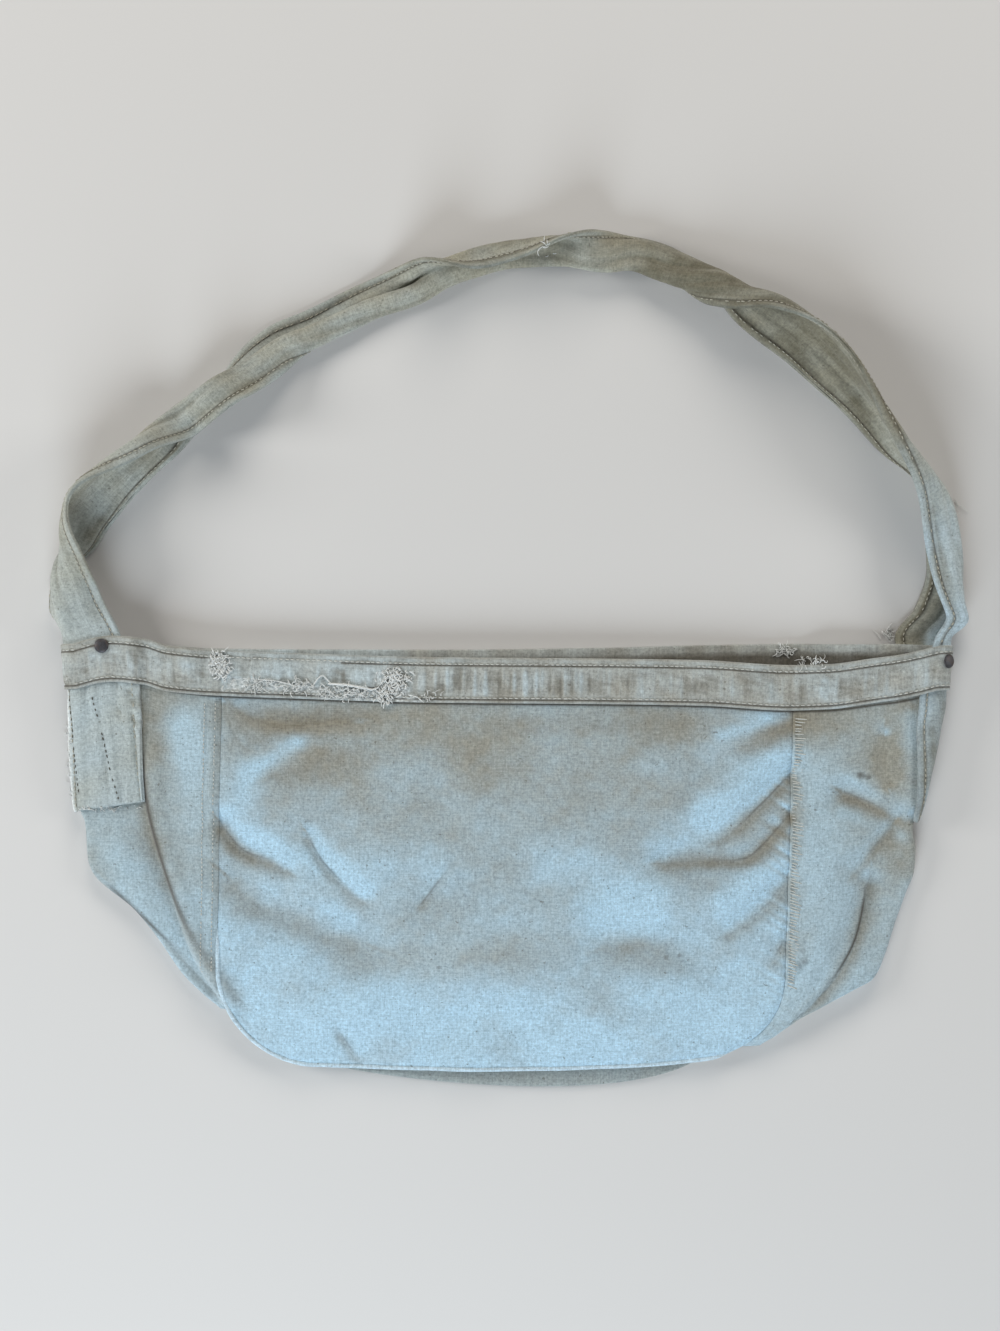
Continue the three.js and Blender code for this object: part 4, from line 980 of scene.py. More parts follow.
def pleat_section(at, start, end):
    share = at / front_seam["length"]
    depth = PLEAT_CLEAR + PLEAT_DEPTH * smooth(min(at - start, end - at) / PLEAT_EASE)
    rim, foot = on_seam(front_seam, share), on_seam(back_seam, share)
    inward = on_seam(front_seam, share, -1) - rim
    low = CANVAS / 2 + LAYER_STEP

    def high(x, y, t):
        relief = np.minimum(fold_relief(x, y) + crease_relief(x, y), 0)
        return body_height(x, y) + relief - LAYER_STEP - EDGE_TURN - 1.2 * t

    tip = rim + inward * depth
    reach = min((high(*tip, 1.0) - low) / 2, FOLD_SHARE * depth)
    bend = rim + inward * (depth - reach)
    upper, lower = mix(rim, bend, PLEAT_LEAF[:, None]), mix(bend, foot, PLEAT_LEAF[:, None])
    upper = np.column_stack([upper, high(upper[:, 0], upper[:, 1], PLEAT_LEAF)])
    lower = np.column_stack([lower, np.full(len(lower), low)])
    bulge = reach * np.sin(PLEAT_TURN) * np.array([*inward, 0])
    fold = mix(upper[-1], lower[0], (1 - np.cos(PLEAT_TURN)) / 2) + bulge
    return np.concatenate([upper, fold, lower])


pleat_start = wings["left"]["end"] - PLEAT_LAP
pleat_end = front_seam["length"] - wings["right"]["end"] + PLEAT_LAP
pleat_at = np.linspace(pleat_start, pleat_end, PLEAT_ROWS)
pleat_points = np.array([pleat_section(at, pleat_start, pleat_end) for at in pleat_at])
pleat_marks = wear_and_painted_light(pleat_points[..., 0], pleat_points[..., 1])
pleat_marks["pale"] *= PLEAT_PALE
pleat_marks["grime_and_shade"] = np.clip(pleat_marks["grime_and_shade"] + PLEAT_GRIME_AND_SHADE, 0, 1)
pleat_marks["cloth"] = flat_place(pleat_points[..., 0], pleat_points[..., 1])
bottom_pleat = make_cloth("bottom_pleat", pleat_points, grid_normals(pleat_points), CANVAS, "canvas_gusset",
                          gusset_canvas, pleat_marks)
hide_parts("gusset_bottom")

# %% [markdown]
# ## Shoulder strap
# The strap is a strip of canvas folded double and sewn along both edges. It lies in loose folds: flat on the
# wing, rolled, standing on its outer edge, folded in a Z. Its section is a flat band in four parts, each
# with a turn of its own, and a table says how they turn on the way round. A cloth simulation would find
# some folds, but not these.

# %% The strap's way round
STRAP = table("x y turn_1 turn_2 turn_3 turn_4 fold_1 fold_2 fold_3 lift", [
    (-328, 42, 15, 15, -58, -75, -13, 1, 17, 4), (-330, 59, 5, 5, -67, -85, -15, -1, 16, 2),
    (-327, 77, -19, -19, -78, -130, -20, -10, 6, 0), (-324, 97, -44, -44, -85, -150, -26, -20, -2, 0),
    (-315, 115, -87, -87, -112, -150, -26, -20, 1, 0), (-296, 135, -54, -54, -97, -145, -25, -17, -1, 0),
    (-272, 157, -10, -10, -78, -128, -25, -17, -6, 0), (-246, 181, 20, 20, -88, -185, -18, -5, 9, 0),
    (-221, 196, 5, 5, -115, -105, -18, -5, 9, 0), (-196, 219, 9, 9, -137, -25, -18, -5, 8, 0),
    (-172, 240, 40, 12, -146, -10, -20, -6, 7, 0), (-150, 251, 120, 8, -150, -8, -18, -3, 8, 0),
    (-124, 264, 165, 8, -152, -3, -16, 0, 9, 0), (-104, 274, 170, 14, -148, 2, -13, 2, 10, 0),
    (-76, 283, 172, 22, -120, 40, -13, 2, 9, 1), (-50, 292, 165, 35, 45, 105, -12, 0, 9, 1),
    (-23, 302, 178, 14, 14, 158, -10, 0, 10, 2), (3, 309, 180, 18, 18, 150, -8, 2, 11, 2),
    (30, 309, 165, 15, 15, 122, -8, 2, 13, 2), (60, 307, 152, 28, 28, 28, -1, 10, 18, 2),
    (91, 308, 165, 14, 14, -72, -8, 2, 13, 2), (118, 299, 160, 10, 10, -67, -11, 0, 12, 2),
    (143, 286, 83, -5, -5, -92, -14, -4, 7, 1), (168, 273, -3, -3, -75, -140, -20, -10, 5, 0),
    (195, 258, -20, -20, -95, -145, -26, -19, -5, 0), (221, 240, -67, -67, -110, -150, -26, -19, 1, 0),
    (241, 220, -80, -80, -102, -146, -27, -22, 0, 0), (258, 200, -60, -60, -92, -142, -27, -24, 5, 0),
    (275, 178, -20, -20, -88, -140, -27, -23, 11, 0), (291, 158, -8, -8, -88, -118, -26, -20, 6, 0),
    (306, 136, -5, -5, -104, -85, -24, -14, 0, 0), (321, 113, -14, -14, -95, -150, -15, -2, 9, 0),
    (327, 86, -6, -6, -90, -166, -16, -3, 7, 1), (330, 60, -12, -12, -88, -165, -18, -6, 6, 1),
    (327, 36, -12, -12, -96, -172, -24, -14, -4, 2),
])
STRAP_SOFT = 9.0  # millimetres across which one part turns into the next
STRAP_STEP, STRAP_COLUMNS = 2.6, 53
STRAP_LOOK = 6.0  # millimetres before and after a section that give its heading
across = np.linspace(-0.5, 0.5, STRAP_COLUMNS) * STRAP_WIDTH


def strap_section(row, heading):
    step = across[1] - across[0]
    w = (across[1:] + across[:-1]) / 2
    turn = row["turn_1"]
    for k in (1, 2, 3):
        past = smooth((w - row[f"fold_{k}"]) / STRAP_SOFT + 0.5)
        turn = turn + (row[f"turn_{k + 1}"] - row[f"turn_{k}"]) * past
    out = np.r_[0, np.cumsum(step * np.cos(np.radians(turn)))]
    up = np.r_[0, np.cumsum(step * np.sin(np.radians(turn)))]
    out = out - (out.min() + out.max()) / 2
    up = up - up.min() + row["lift"] + STRAP_CLOTH / 2
    return np.stack([row["x"] - heading[1] * out, row["y"] + heading[0] * out, up], -1)


def free_strap():
    at = np.r_[0, np.cumsum(np.hypot(np.diff(STRAP["x"]), np.diff(STRAP["y"])))]
    lines = {name: through(at, values) for name, values in STRAP.items()}
    spots = np.linspace(0, at[-1], int(at[-1] / STRAP_STEP))
    sections = []
    for spot in spots:
        row = {name: line(spot) for name, line in lines.items()}
        ahead = np.array([lines[k](spot + STRAP_LOOK) - lines[k](spot - STRAP_LOOK) for k in ("x", "y")])
        sections.append(strap_section(row, unit(ahead)))
    return np.array(sections)


# %% The strap's sewn ends, which lie on the wings
LEFT_TAB = table("down before", [(-8, 33), (34, 46.5), (116, 49)])
RIGHT_TAB = table("down before", [(-8, 3), (34, 11.5), (95, 0.3), (124, -5)])
LEFT_SLANT, RIGHT_SLANT = 9.0, 0.0
STRAP_OFFSET = CANVAS / 2 + STRAP_GAP + STRAP_CLOTH / 2
ABOVE_BAND = -HEM_CAP - 4


def section_at(wing, down):
    downs = wing["downs"]
    mouth_row, band_row = 0, int(np.argmin(abs(downs - BAND_DEPTH)))
    if down < 0:
        a, b, share = mouth_row, band_row, down / downs[band_row]
    else:
        b = max(int(np.searchsorted(downs, down)), 1)
        a, share = b - 1, (down - downs[b - 1]) / (downs[b] - downs[b - 1])
    return [mix(wing[name][a], wing[name][b], share) for name in ("sections", "normals")]


def layer_of(section, offset):
    points, normals = section
    layer = points + normals * offset
    runs = runs_along(layer)
    return layer, runs - runs[FOLD_START]


def front_edge_run(tab, down):
    return -through(tab["down"], tab["before"])(down)


def tab_section(wing, tab, down):
    layer, runs = layer_of(section_at(wing, down), STRAP_OFFSET)
    return along_run(layer, runs, front_edge_run(tab, down) + STRAP_WIDTH / 2 + across)


def tab_rows(wing, tab, slant):
    ends = tab["down"][-1] + slant * across / STRAP_WIDTH
    downs = np.linspace(ends.max(), ABOVE_BAND, int((tab["down"][-1] - ABOVE_BAND) / STRAP_STEP))
    level = np.array([tab_section(wing, tab, down) for down in downs])
    share = (downs[0] - downs) / (downs[0] - ABOVE_BAND)
    columns = [along_run(level[:, j], -downs, -mix(end, ABOVE_BAND, share)) for j, end in enumerate(ends)]
    return np.stack(columns, axis=1)


# %% Join the ends to the free strap with an easy bend, and smooth the free part along its length
JOIN_ROWS, SOFTENINGS = 8, 22


def eased_join(before, after, count):
    a, b = before[-1], after[0]
    span = np.linalg.norm(b - a, axis=1).mean()
    leave = (before[-1] - before[-4]) / 3 / STRAP_STEP * span
    arrive = (after[3] - after[0]) / 3 / STRAP_STEP * span
    t = np.linspace(0, 1, count + 2)[1:-1, None, None]
    ease = t * t * (3 - 2 * t)
    return mix(a, b, ease) + t * (1 - t) ** 2 * leave - t * t * (1 - t) * arrive


def soften(rows, times):
    for _ in range(times):
        rows = np.concatenate([rows[:1], (rows[:-2] + 2 * rows[1:-1] + rows[2:]) / 4, rows[-1:]])
    return rows


left_rows = tab_rows(wings["left"], LEFT_TAB, LEFT_SLANT)
right_rows = tab_rows(wings["right"], RIGHT_TAB, RIGHT_SLANT)[::-1]
free_rows = soften(free_strap(), SOFTENINGS)
strap_points = np.concatenate([left_rows, eased_join(left_rows, free_rows, JOIN_ROWS), free_rows,
                               eased_join(free_rows, right_rows, JOIN_ROWS), right_rows])
strap_along = np.r_[0, np.cumsum(np.linalg.norm(np.diff(strap_points, axis=0), axis=2).mean(axis=1))]
strap_low = strap_points[..., 2].min()
print(f"strap {strap_along[-1]:.0f} mm long with its sewn ends, lowest point {strap_low:.1f} mm")

# %% Where each point of the strap is: across, along, and from the nearer end, edge and row of stitches
STRAP_HEM = 4.0
strap_w = np.broadcast_to(across, strap_points.shape[:2])
strap_s = np.broadcast_to(strap_along[:, None], strap_points.shape[:2])
from_end = np.minimum(strap_s, strap_along[-1] - strap_s)
from_edge = STRAP_WIDTH / 2 - abs(strap_w)
from_hem = from_edge - STRAP_HEM
on_left = strap_s < strap_along[-1] / 2
free_share = smooth((from_end - 125) / 50)
hem_share = 1 - smooth((122 - strap_s) / 8) * (strap_w < 0)
pucker_share = np.exp(-((strap_s - 76) / 26) ** 4) * smooth((-4 - strap_w) / 10)

# %% Soft ridges along the strap, puckers on its left end, and a dip under each row of stitches
strap_ridges = ripple(strap_w, strap_s / 16, 15, 25, 6) + 0.30 * ripple(strap_w, strap_s / 9, 6, 28, 6)
strap_puckers = ripple(strap_w / 4, strap_s - 0.4 * strap_w, 10, 27)
tab_ridges = 0.5 * smooth((108 - strap_s) / 15) * ripple(strap_w, strap_s / 12, 10, 29, 5)
strap_relief = 0.95 * mix(0.30, 1.0, free_share) * strap_ridges + pucker_share * strap_puckers
strap_relief = np.clip(strap_relief + tab_ridges, -1.5, 1.5)
strap_relief -= 0.45 * hem_share * np.exp(-(from_hem / 1.2) ** 2)
strap_relief = np.maximum(strap_relief, mix(-0.6, -2.0, free_share))
strap_points += grid_normals(strap_points) * strap_relief[..., None]
strap_points[..., 2] = np.maximum(strap_points[..., 2], STRAP_CLOTH / 2 + 0.2)
strap_normals = grid_normals(strap_points)

# %% Where the strap is dirty and shaded: darker in its dips and beside its stitches, and painted shade on its right bend and at its right end
strap_x = strap_points[..., 0]
end_share = np.exp(-(from_end / np.where(on_left, 165, 280)) ** 6)
strap_dip = hem_share * np.exp(-(from_hem / 1.1) ** 2)
on_right_bend = smooth((strap_x - 60) / 70) * smooth((314 - strap_x) / 40) * (1 - end_share)
strap_dirt_and_shade = 0.20 + 0.16 * ripple(strap_w * 3, strap_s, 90, 22) + 0.08 * ripple(strap_w, strap_s, 14, 26)
strap_dirt_and_shade += (0.30 + 0.9 * pucker_share) * np.maximum(-strap_relief, 0) - 0.14 * smooth((20 - strap_x) / 60)
# Painted shade on the right bend, darkest along the foot of its standing wall.
strap_dirt_and_shade += on_right_bend * (0.45 + 0.55 * np.exp(-((strap_w + 7) / 6) ** 2))
# Painted shade: the inner flap of the right end, and the right end as a whole.
strap_dirt_and_shade += 0.7 * end_share * ~on_left * smooth(strap_w / 10) * smooth((strap_points[..., 1] - 8) / 10)
strap_dirt_and_shade += 0.6 * ~on_left * smooth((140 - from_end) / 20)
print(f"strap dirt {strap_dirt_and_shade.mean():.2f} on average")

# %% Where the strap is pale, less pale inside its right end as painted shade, raw at its left end's edge, and dark along its stitches
edge_share = np.exp(-(from_edge / 2.2) ** 2)
strap_pale = 0.10 + 0.08 * edge_share + np.where(on_left, 0.45, 0.75) * end_share
strap_pale += 0.16 * smooth((-60 - strap_x) / 80) * (1 - end_share)
# Painted shade: the inner half of the right end is made less pale.
strap_pale *= 1 - 0.8 * ~on_left * end_share * smooth((strap_w - 4) / 10)
strap_raw = smooth((130 - strap_s) / 12) * np.exp(-((STRAP_WIDTH / 2 - strap_w) / 2.0) ** 2)
strap_near = hem_share * mix(0.25, 0.65, smooth((from_end - 110) / 30))
strap_marks = {
    "cloth": flat_place(strap_w, strap_s),
    "pale": np.clip(strap_pale + 0.10 * ripple(strap_w, strap_s, 50, 21), 0, 1),
    "grime_and_shade": np.clip(strap_dirt_and_shade + 0.5 * strap_dip - 0.35 * end_share, 0, 1),
    "raw": np.clip(strap_raw, 0, 1),
    "line_side": 1.4 * (from_hem - 1.1),
    "line_near": strap_near * np.exp(-(from_hem / 5) ** 4),
}
strap_cloth = make_cloth("strap_cloth", strap_points, strap_normals, STRAP_CLOTH, "strap_cloth", strap_canvas,
                         strap_marks, SEWN_RIM)
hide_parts("shoulder_strap")

# %% [markdown]
# ## Mouth band
# A separate strip is folded over the raw edge of the mouth and sewn through with two rows of stitches. It is
# a closed ring: along the front, round the right wing, along the back and round the left wing. At each post
# of the ring a section folds over the wall, and over the strap where that comes through. On the left the
# outer layer is torn along its lower edge: the tear is a lower strip with a frayed face, not a cut, so the
# band stays one closed piece.

# %% Posts round the mouth
def panel_posts(points, normals):
    feet = BAND_DEPTH - points[0, :, 1]
    foot = [along_run(points[:, i], -points[:, i, 1], down) for i, down in enumerate(feet)]
    return points[0], np.array(foot), normals[0], np.zeros(len(foot))


def wing_posts(wing, tab):
    band_row = int(np.argmin(abs(wing["downs"] - BAND_DEPTH)))
    _, runs = layer_of((wing["sections"][0], wing["normals"][0]), STRAP_OFFSET)
    edges = [front_edge_run(tab, down) for down in (0, BAND_DEPTH)]
    low, high = min(edges), max(edges) + STRAP_WIDTH
    covered = smooth((runs - low) / 7 + 1) * smooth((high - runs) / 7 + 1)
    strap = covered * (2 * STRAP_GAP + STRAP_CLOTH - LAYER_GAP)
    rows = (wing["sections"][0], wing["sections"][band_row], wing["normals"][0], strap)
    return [values[1:-1] for values in rows]


left_posts = [values[::-1] for values in wing_posts(wings["left"], LEFT_TAB)]
ring = [np.concatenate(values) for values in zip(
    panel_posts(front_points, front_normals), wing_posts(wings["right"], RIGHT_TAB),
    panel_posts(back_points, -back_normals), left_posts)]
POSTS_BETWEEN = 2


def finer(values):
    closed = np.concatenate([values, values[:1]]).reshape(len(values) + 1, -1)
    at = np.arange(len(values) * POSTS_BETWEEN) / POSTS_BETWEEN
    columns = [np.interp(at, np.arange(len(closed)), column) for column in closed.T]
    return np.stack(columns, -1).reshape(-1, *values.shape[1:])


post_top, post_foot, post_normal, post_strap = (finer(values) for values in ring)
post_at = runs_along(post_top)
print(f"mouth {post_at[-1]:.0f} mm round, {len(post_at)} posts")

# %% The band's section: outer face, rolled top, inner face, and the inside of the fold
OUTER_RISES = np.linspace(-BAND_DEPTH, HEM_CAP - HEM_CLOTH, 36)
STITCH_RISES = (-BAND_DEPTH + 4.0, -2.6)
INNER_RISES = np.linspace(HEM_CAP - HEM_CLOTH, -BAND_DEPTH, 9)
ROLL_TURNS = np.linspace(0, math.pi, 9)[1:-1]
TEAR = table("x high", [
    (-215, 0), (-211, 15), (-196, 14.5), (-176, 12.5), (-150, 11), (-130, 11.5), (-112, 9.5), (-101, 10),
    (-95, 15), (-86, 23), (-79, 15), (-74, 4), (-60, 2), (-40, 0),
])
LIP = 5.0  # millimetres of whole cloth left below the tear
tear_high = through(TEAR["x"], TEAR["high"])
post_front = np.arange(len(post_at)) < POSTS_BETWEEN * FRONT_COLUMNS
print(f"tear {TEAR['x'][-1] - TEAR['x'][0]:.0f} mm long, up to {TEAR['high'].max():.0f} mm high")


def tear_wander(at):
    return 0.7 * ripple(at, 0 * at, 17, 35) + 0.35 * ripple(at, 0 * at, 5, 43)


def torn_share(rise):
    x = post_top[:, 0]
    high = tear_high(x) + tear_wander(post_at)
    lip = LIP * smooth((-136 - x) / 20) + 0.6 * ripple(post_at, 0 * post_at, 9, 40)
    below, above = smooth((high - rise - BAND_DEPTH) / 1.4), smooth((rise + BAND_DEPTH - lip) / 1.4 + 0.5)
    return post_front * below * above * (tear_high(x) > 0.5)


def band_point(offset, rise):
    up = unit(post_top - post_foot)
    share = np.clip(-rise / BAND_DEPTH, 0, None)
    base = mix(post_top, post_foot, np.broadcast_to(share, len(post_top))[:, None])
    return base + up * np.maximum(rise, 0) + post_normal * np.broadcast_to(offset, len(post_top))[:, None]


def band_relief(rise):
    x = post_top[:, 0]
    gathered = mix(0.35, 1.0, smooth((x + 75) / 25) * smooth((110 - x) / 70) * post_front)
    puckers = 0.85 * gathered * ripple(post_at, 0 * post_at + rise / 12, 6.5, 31)
    puckers = puckers + 0.40 * ripple(post_at, 0 * post_at + rise, 30, 32)
    between = np.exp(-((rise + BAND_DEPTH / 2) / 9) ** 4)
    channel = sum(np.exp(-((rise - line) / 1.2) ** 2) for line in STITCH_RISES)
    torn = torn_share(rise)
    frayed = 0.35 * ripple(post_at, 0 * post_at + rise, 4, 36)
    whole = puckers * (0.2 + between) - 0.5 * channel
    return mix(whole, frayed - 0.8, torn) + 0.5 * torn_share(rise - 1.6) * (1 - torn)


band_heights = np.stack([band_relief(rise) for rise in OUTER_RISES], axis=1)


def band_rings():
    inside = CANVAS / 2 + LAYER_GAP
    outside = inside + post_strap
    crown = HEM_CAP - HEM_CLOTH
    swell = np.clip(band_heights, -1.1, 1.0).T
    outer = [band_point(outside + HEM_CLOTH + more, rise) for more, rise in zip(swell, OUTER_RISES)]
    centre, half_width = (outside - inside) / 2, (outside + inside) / 2 + HEM_CLOTH
    roll = [band_point(centre + half_width * math.cos(turn), crown + HEM_CLOTH * math.sin(turn))
            for turn in ROLL_TURNS]
    inner = [band_point(-inside - HEM_CLOTH, rise) for rise in INNER_RISES]
    corners = ((-inside, -BAND_DEPTH), (-inside, crown - 0.2), (outside, crown - 0.2), (outside, -BAND_DEPTH))
    hidden = [band_point(offset, rise) for offset, rise in corners]
    return outer + roll + inner + hidden


band_points = np.stack(band_rings(), axis=1)
band_points[..., 2] = np.maximum(band_points[..., 2], 0.1)
posts, around = band_points.shape[:2]
print(f"band {posts} posts long, {around} points round its section")

# %% The band's faces, and where each of its points is along the mouth and across the strip
corner = np.arange(posts * around).reshape(posts, around)
next_post, next_around = np.roll(corner, -1, axis=0), np.roll(corner, -1, axis=1)
band_faces = np.stack([corner, next_post, np.roll(next_post, -1, axis=1), next_around], -1).reshape(-1, 4)
band_s = np.broadcast_to(post_at[:, None], (posts, around))
band_v = np.broadcast_to(np.linspace(0, 1, around) * 2 * BAND_DEPTH, (posts, around))
band_x, band_y = band_points[..., 0], band_points[..., 1]
outer_face = np.s_[:, :len(OUTER_RISES)]
first_inner = len(OUTER_RISES) + len(ROLL_TURNS)
inner_face = np.s_[:, first_inner:first_inner + len(INNER_RISES)]

# %% Where the band is bleached, grimy, torn and frayed, with painted highlights on the crests of its puckers and painted shade in their hollows
TUFTS = table("x y reach", [(-220, -5, 9), (-90, -16, 10)])

band_washed = 0.40 * smooth((-70 - band_x) / 25) * smooth((band_x + 218) / 6) + 0.12 * (abs(band_x) > 215)
band_pale = 0.28 + 0.16 * ripple(band_s, band_v, 45, 33) + band_washed
# Painted highlight: the crests of the puckers are paler.
band_pale[outer_face] += 0.55 * np.maximum(band_heights, 0)
band_torn = np.zeros((posts, around))
band_torn[outer_face] = np.stack([torn_share(rise) for rise in OUTER_RISES], axis=1)
band_grime_and_shade = 0.18 + 0.18 * ripple(band_s, band_v, 30, 34) + 0.12 * ripple(band_s, band_v, 7, 37)
# Painted shade: the hollows of the puckers are darker.
band_grime_and_shade[outer_face] += 0.44 * np.maximum(-band_heights, 0) * (1 - band_torn[outer_face])
band_raw = band_torn * np.clip(0.40 + 0.35 * ripple(band_s, 2 * band_v, 6, 38), 0, 1)
for tuft in rows_of(TUFTS):
    from_tuft = np.hypot(band_x - tuft["x"], band_y - tuft["y"]) / tuft["reach"]
    band_raw += 0.9 * np.exp(-from_tuft ** 4) * np.clip(0.8 + 0.5 * ripple(band_s, band_v, 5, 39), 0, 1)

# %% Dark lines of the band: painted shade below each row of stitches, a dark line along the tear, and painted shade on its inside
band_rise = np.full((posts, around), 99.0)
band_rise[outer_face] = OUTER_RISES
# The dark lines just below each row of stitches are painted shade.
upper_line, lower_line = band_rise - STITCH_RISES[1] + 1.3, band_rise - STITCH_RISES[0] + 1.5
band_side = np.where(abs(upper_line) < abs(lower_line), upper_line, lower_line)
tear_side = band_rise + BAND_DEPTH - tear_high(band_x) - tear_wander(band_s) + 0.4
on_tear = (band_x < -96) & (band_x > -211) & (band_rise < 50) & post_front[:, None]
closer = on_tear & (abs(tear_side) < abs(band_side))
band_side = np.where(closer, tear_side / 1.3, band_side)
tear_dark = np.clip(0.55 + 0.5 * ripple(band_s, 0 * band_s, 26, 42), 0, 1)
band_line_strength = np.where(closer, tear_dark, 1 - np.clip(band_raw, 0, 1))
band_line_strength *= 1 - (band_rise > -8) * (band_x < -128) * (band_x > -228) * post_front[:, None]
# Painted shade: the inner face of the band, seen in the gap of the mouth, is grimy and dark.
band_inside = np.zeros((posts, around))
band_inside[:, first_inner:] = 1
band_inside[inner_face] = smooth((-2 - INNER_RISES) / 5)
band_near = np.maximum(0.85 * np.exp(-(band_side / 4) ** 4) * band_line_strength, 0.58 * band_inside)
band_side = np.where(band_inside > 0, 0, band_side)

# %% The band's cloth
band_marks = {
    "cloth": flat_place(band_s, band_v).reshape(-1, 3),
    "pale": np.clip(band_pale, 0, 1).ravel(),
    "grime_and_shade": np.clip(band_grime_and_shade + 0.95 * band_inside, 0, 1).ravel(),
    "raw": np.clip(band_raw, 0, 1).ravel(),
    "line_side": 1.3 * band_side.ravel(),
    "line_near": band_near.ravel(),
}
mouth_hem = make_piece("mouth_hem", band_points.reshape(-1, 3), band_faces, "band_cloth", band_canvas,
                       band_marks)
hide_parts("mouth_band")

# %% [markdown]
# ## Stitches and welt
# Two rows of thread hold the band, a row runs along each edge of the strap, dotted rows lie beside the left
# seam, and worn stitches cross the right one like a ladder. A texture could show them from afar, but close up
# each stitch catches the light, so each is a short round bar that differs a little from the next. Along the
# bottom the turned edge of the front rolls over the gusset, and a tube along the seam shows it.

# %% Stitches of the band and the strap
PITCH, THREAD_RADIUS, THREAD_SINK = 4.1, 0.42, 0.05


def band_line(rise):
    row = int(np.argmin(abs(OUTER_RISES - rise)))
    return band_points[:, row], post_normal


band_bars = join_meshes([
    stitch_bars(*band_line(rise), PITCH, 3.0, THREAD_RADIUS, THREAD_SINK, 41 + k, skip=0.05)
    for k, rise in enumerate(STITCH_RISES)])
hem_stitches = make_piece("hem_stitches", *band_bars, "band_cloth", pale_thread)


def strap_line(inset, face):
    column = int(np.argmin(abs(across - inset)))
    ups = face * strap_normals[:, column]
    return strap_points[:, column] + ups * STRAP_CLOTH / 2, ups


strap_bars = join_meshes([
    stitch_bars(*strap_line(side * (STRAP_WIDTH / 2 - STRAP_HEM), face), PITCH, 2.6, THREAD_RADIUS,
                THREAD_SINK, 50 + side + 3 * face, skip=0.12)
    for side in (-1, 1) for face in (-1, 1)])
strap_stitches = make_piece("strap_stitches", *strap_bars, "strap_cloth", khaki_thread)

# %% Dark stitches that hold the left end of the strap
TAB_LINES = ((-8.5, 7.0), (21.0, 25.0))  # millimetres across the strap, at its end and under the band
ROWS_IN_BAND = 15


def tab_line(w_end, w_top):
    rows = len(left_rows) - ROWS_IN_BAND
    w = np.linspace(w_end, w_top, rows)
    tops = strap_points[:rows] + strap_normals[:rows] * STRAP_CLOTH / 2
    path = np.array([along_run(points, across, at) for points, at in zip(tops, w)])
    ups = np.array([along_run(normals, across, at) for normals, at in zip(strap_normals[:rows], w)])
    return path, ups


tab_bars = join_meshes([stitch_bars(*tab_line(*ends), 4.6, 2.4, 0.45, 0.25, 60 + k, skip=0.1)
                        for k, ends in enumerate(TAB_LINES)])
tab_stitches = make_piece("tab_stitches", *tab_bars, "strap_cloth", dark_thread)

# %% Seams: two dotted rows beside the left seam, a ladder of stitches over the right one
SEAM_TOP, SEAM_FOOT = 35.0, 245.0
SEAM_ROWS = (4.0, 12.0)  # millimetres beside the left seam
LADDER_ENDS, LADDER_PITCH, LADDER_RADIUS = (1.0, 11.0), 2.4, 0.40


def beside_seam(wing, run):
    rows = (wing["downs"] > SEAM_TOP) & (wing["downs"] < SEAM_FOOT)
    path = []
    for points, normals in zip(wing["sections"][rows], wing["normals"][rows]):
        path.append(along_run(points + normals * CANVAS / 2, runs_along(points), run))
    path = np.array(path)
    return path, np.broadcast_to(UPWARD, path.shape)


def ladder(inner, outer, pitch, radius, seed):
    draw = np.random.default_rng(seed)
    (near, ups), (far, _) = inner, outer
    total = np.linalg.norm(np.diff(near, axis=0), axis=1).sum()
    spots_at = np.arange(pitch, total - 2 * pitch, pitch)
    spots_at = spots_at + draw.uniform(-0.2, 0.2, len(spots_at)) * pitch
    starts, up = along_path(near, ups, spots_at)
    ends, _ = along_path(far, ups, spots_at + draw.uniform(0.2, 1.6, len(spots_at)))
    ends = mix(starts, ends, draw.uniform(0.4, 1.0, len(spots_at))[:, None])
    return bar_mesh(starts + up * radius / 3, ends + up * radius / 3, up, radius)


seam_bars = join_meshes([
    stitch_bars(*beside_seam(wings["left"], run), 3.0, 1.8, THREAD_RADIUS, THREAD_SINK, 71 + k, skip=0.1)
    for k, run in enumerate(SEAM_ROWS)])
make_piece("seam_stitches", *seam_bars, "canvas_gusset", pale_thread)
ladder_sides = [beside_seam(wings["right"], run) for run in LADDER_ENDS]
ladder_bars = ladder(*ladder_sides, LADDER_PITCH, LADDER_RADIUS, 73)
make_piece("ladder_stitches", *ladder_bars, "canvas_gusset", pale_thread)

# %% A welt: the turned edge of the front, rolled over the gusset along the bottom
WELT_RADIUS, WELT_RINGS, WELT_SIDES = 1.7, 320, 10
WELT_WEAR = {"pale": 0.95, "grime_and_shade": 0.0, "raw": 0.25}

welt_ends = np.array([front_seam["ends"][0] - 30, front_seam["ends"][2] + 25]) / front_seam["length"]
welt_at = np.linspace(*welt_ends, WELT_RINGS)
welt_plan = on_seam(front_seam, welt_at, 0.4)
welt_waves = 0.12 * ripple(welt_at * 900, 0 * welt_at, 12, 81)
welt_high = front_height(welt_plan[:, 0], welt_plan[:, 1]) - 0.9 + welt_waves
welt_path = np.column_stack([welt_plan, welt_high])
welt_shape = smooth(np.minimum(welt_at - welt_at[0], welt_at[-1] - welt_at) * 60 + 0.03)
welt_points, welt_faces = tube_mesh(welt_path[None], UPWARD, WELT_RADIUS, welt_shape, WELT_SIDES)
welt_marks = {title: np.full(len(welt_points), share) for title, share in WELT_WEAR.items()}
welt_marks["cloth"] = flat_place(welt_points[:, 0], welt_points[:, 1])
make_piece("front_welt", welt_points, welt_faces, "canvas_front", front_canvas, welt_marks)

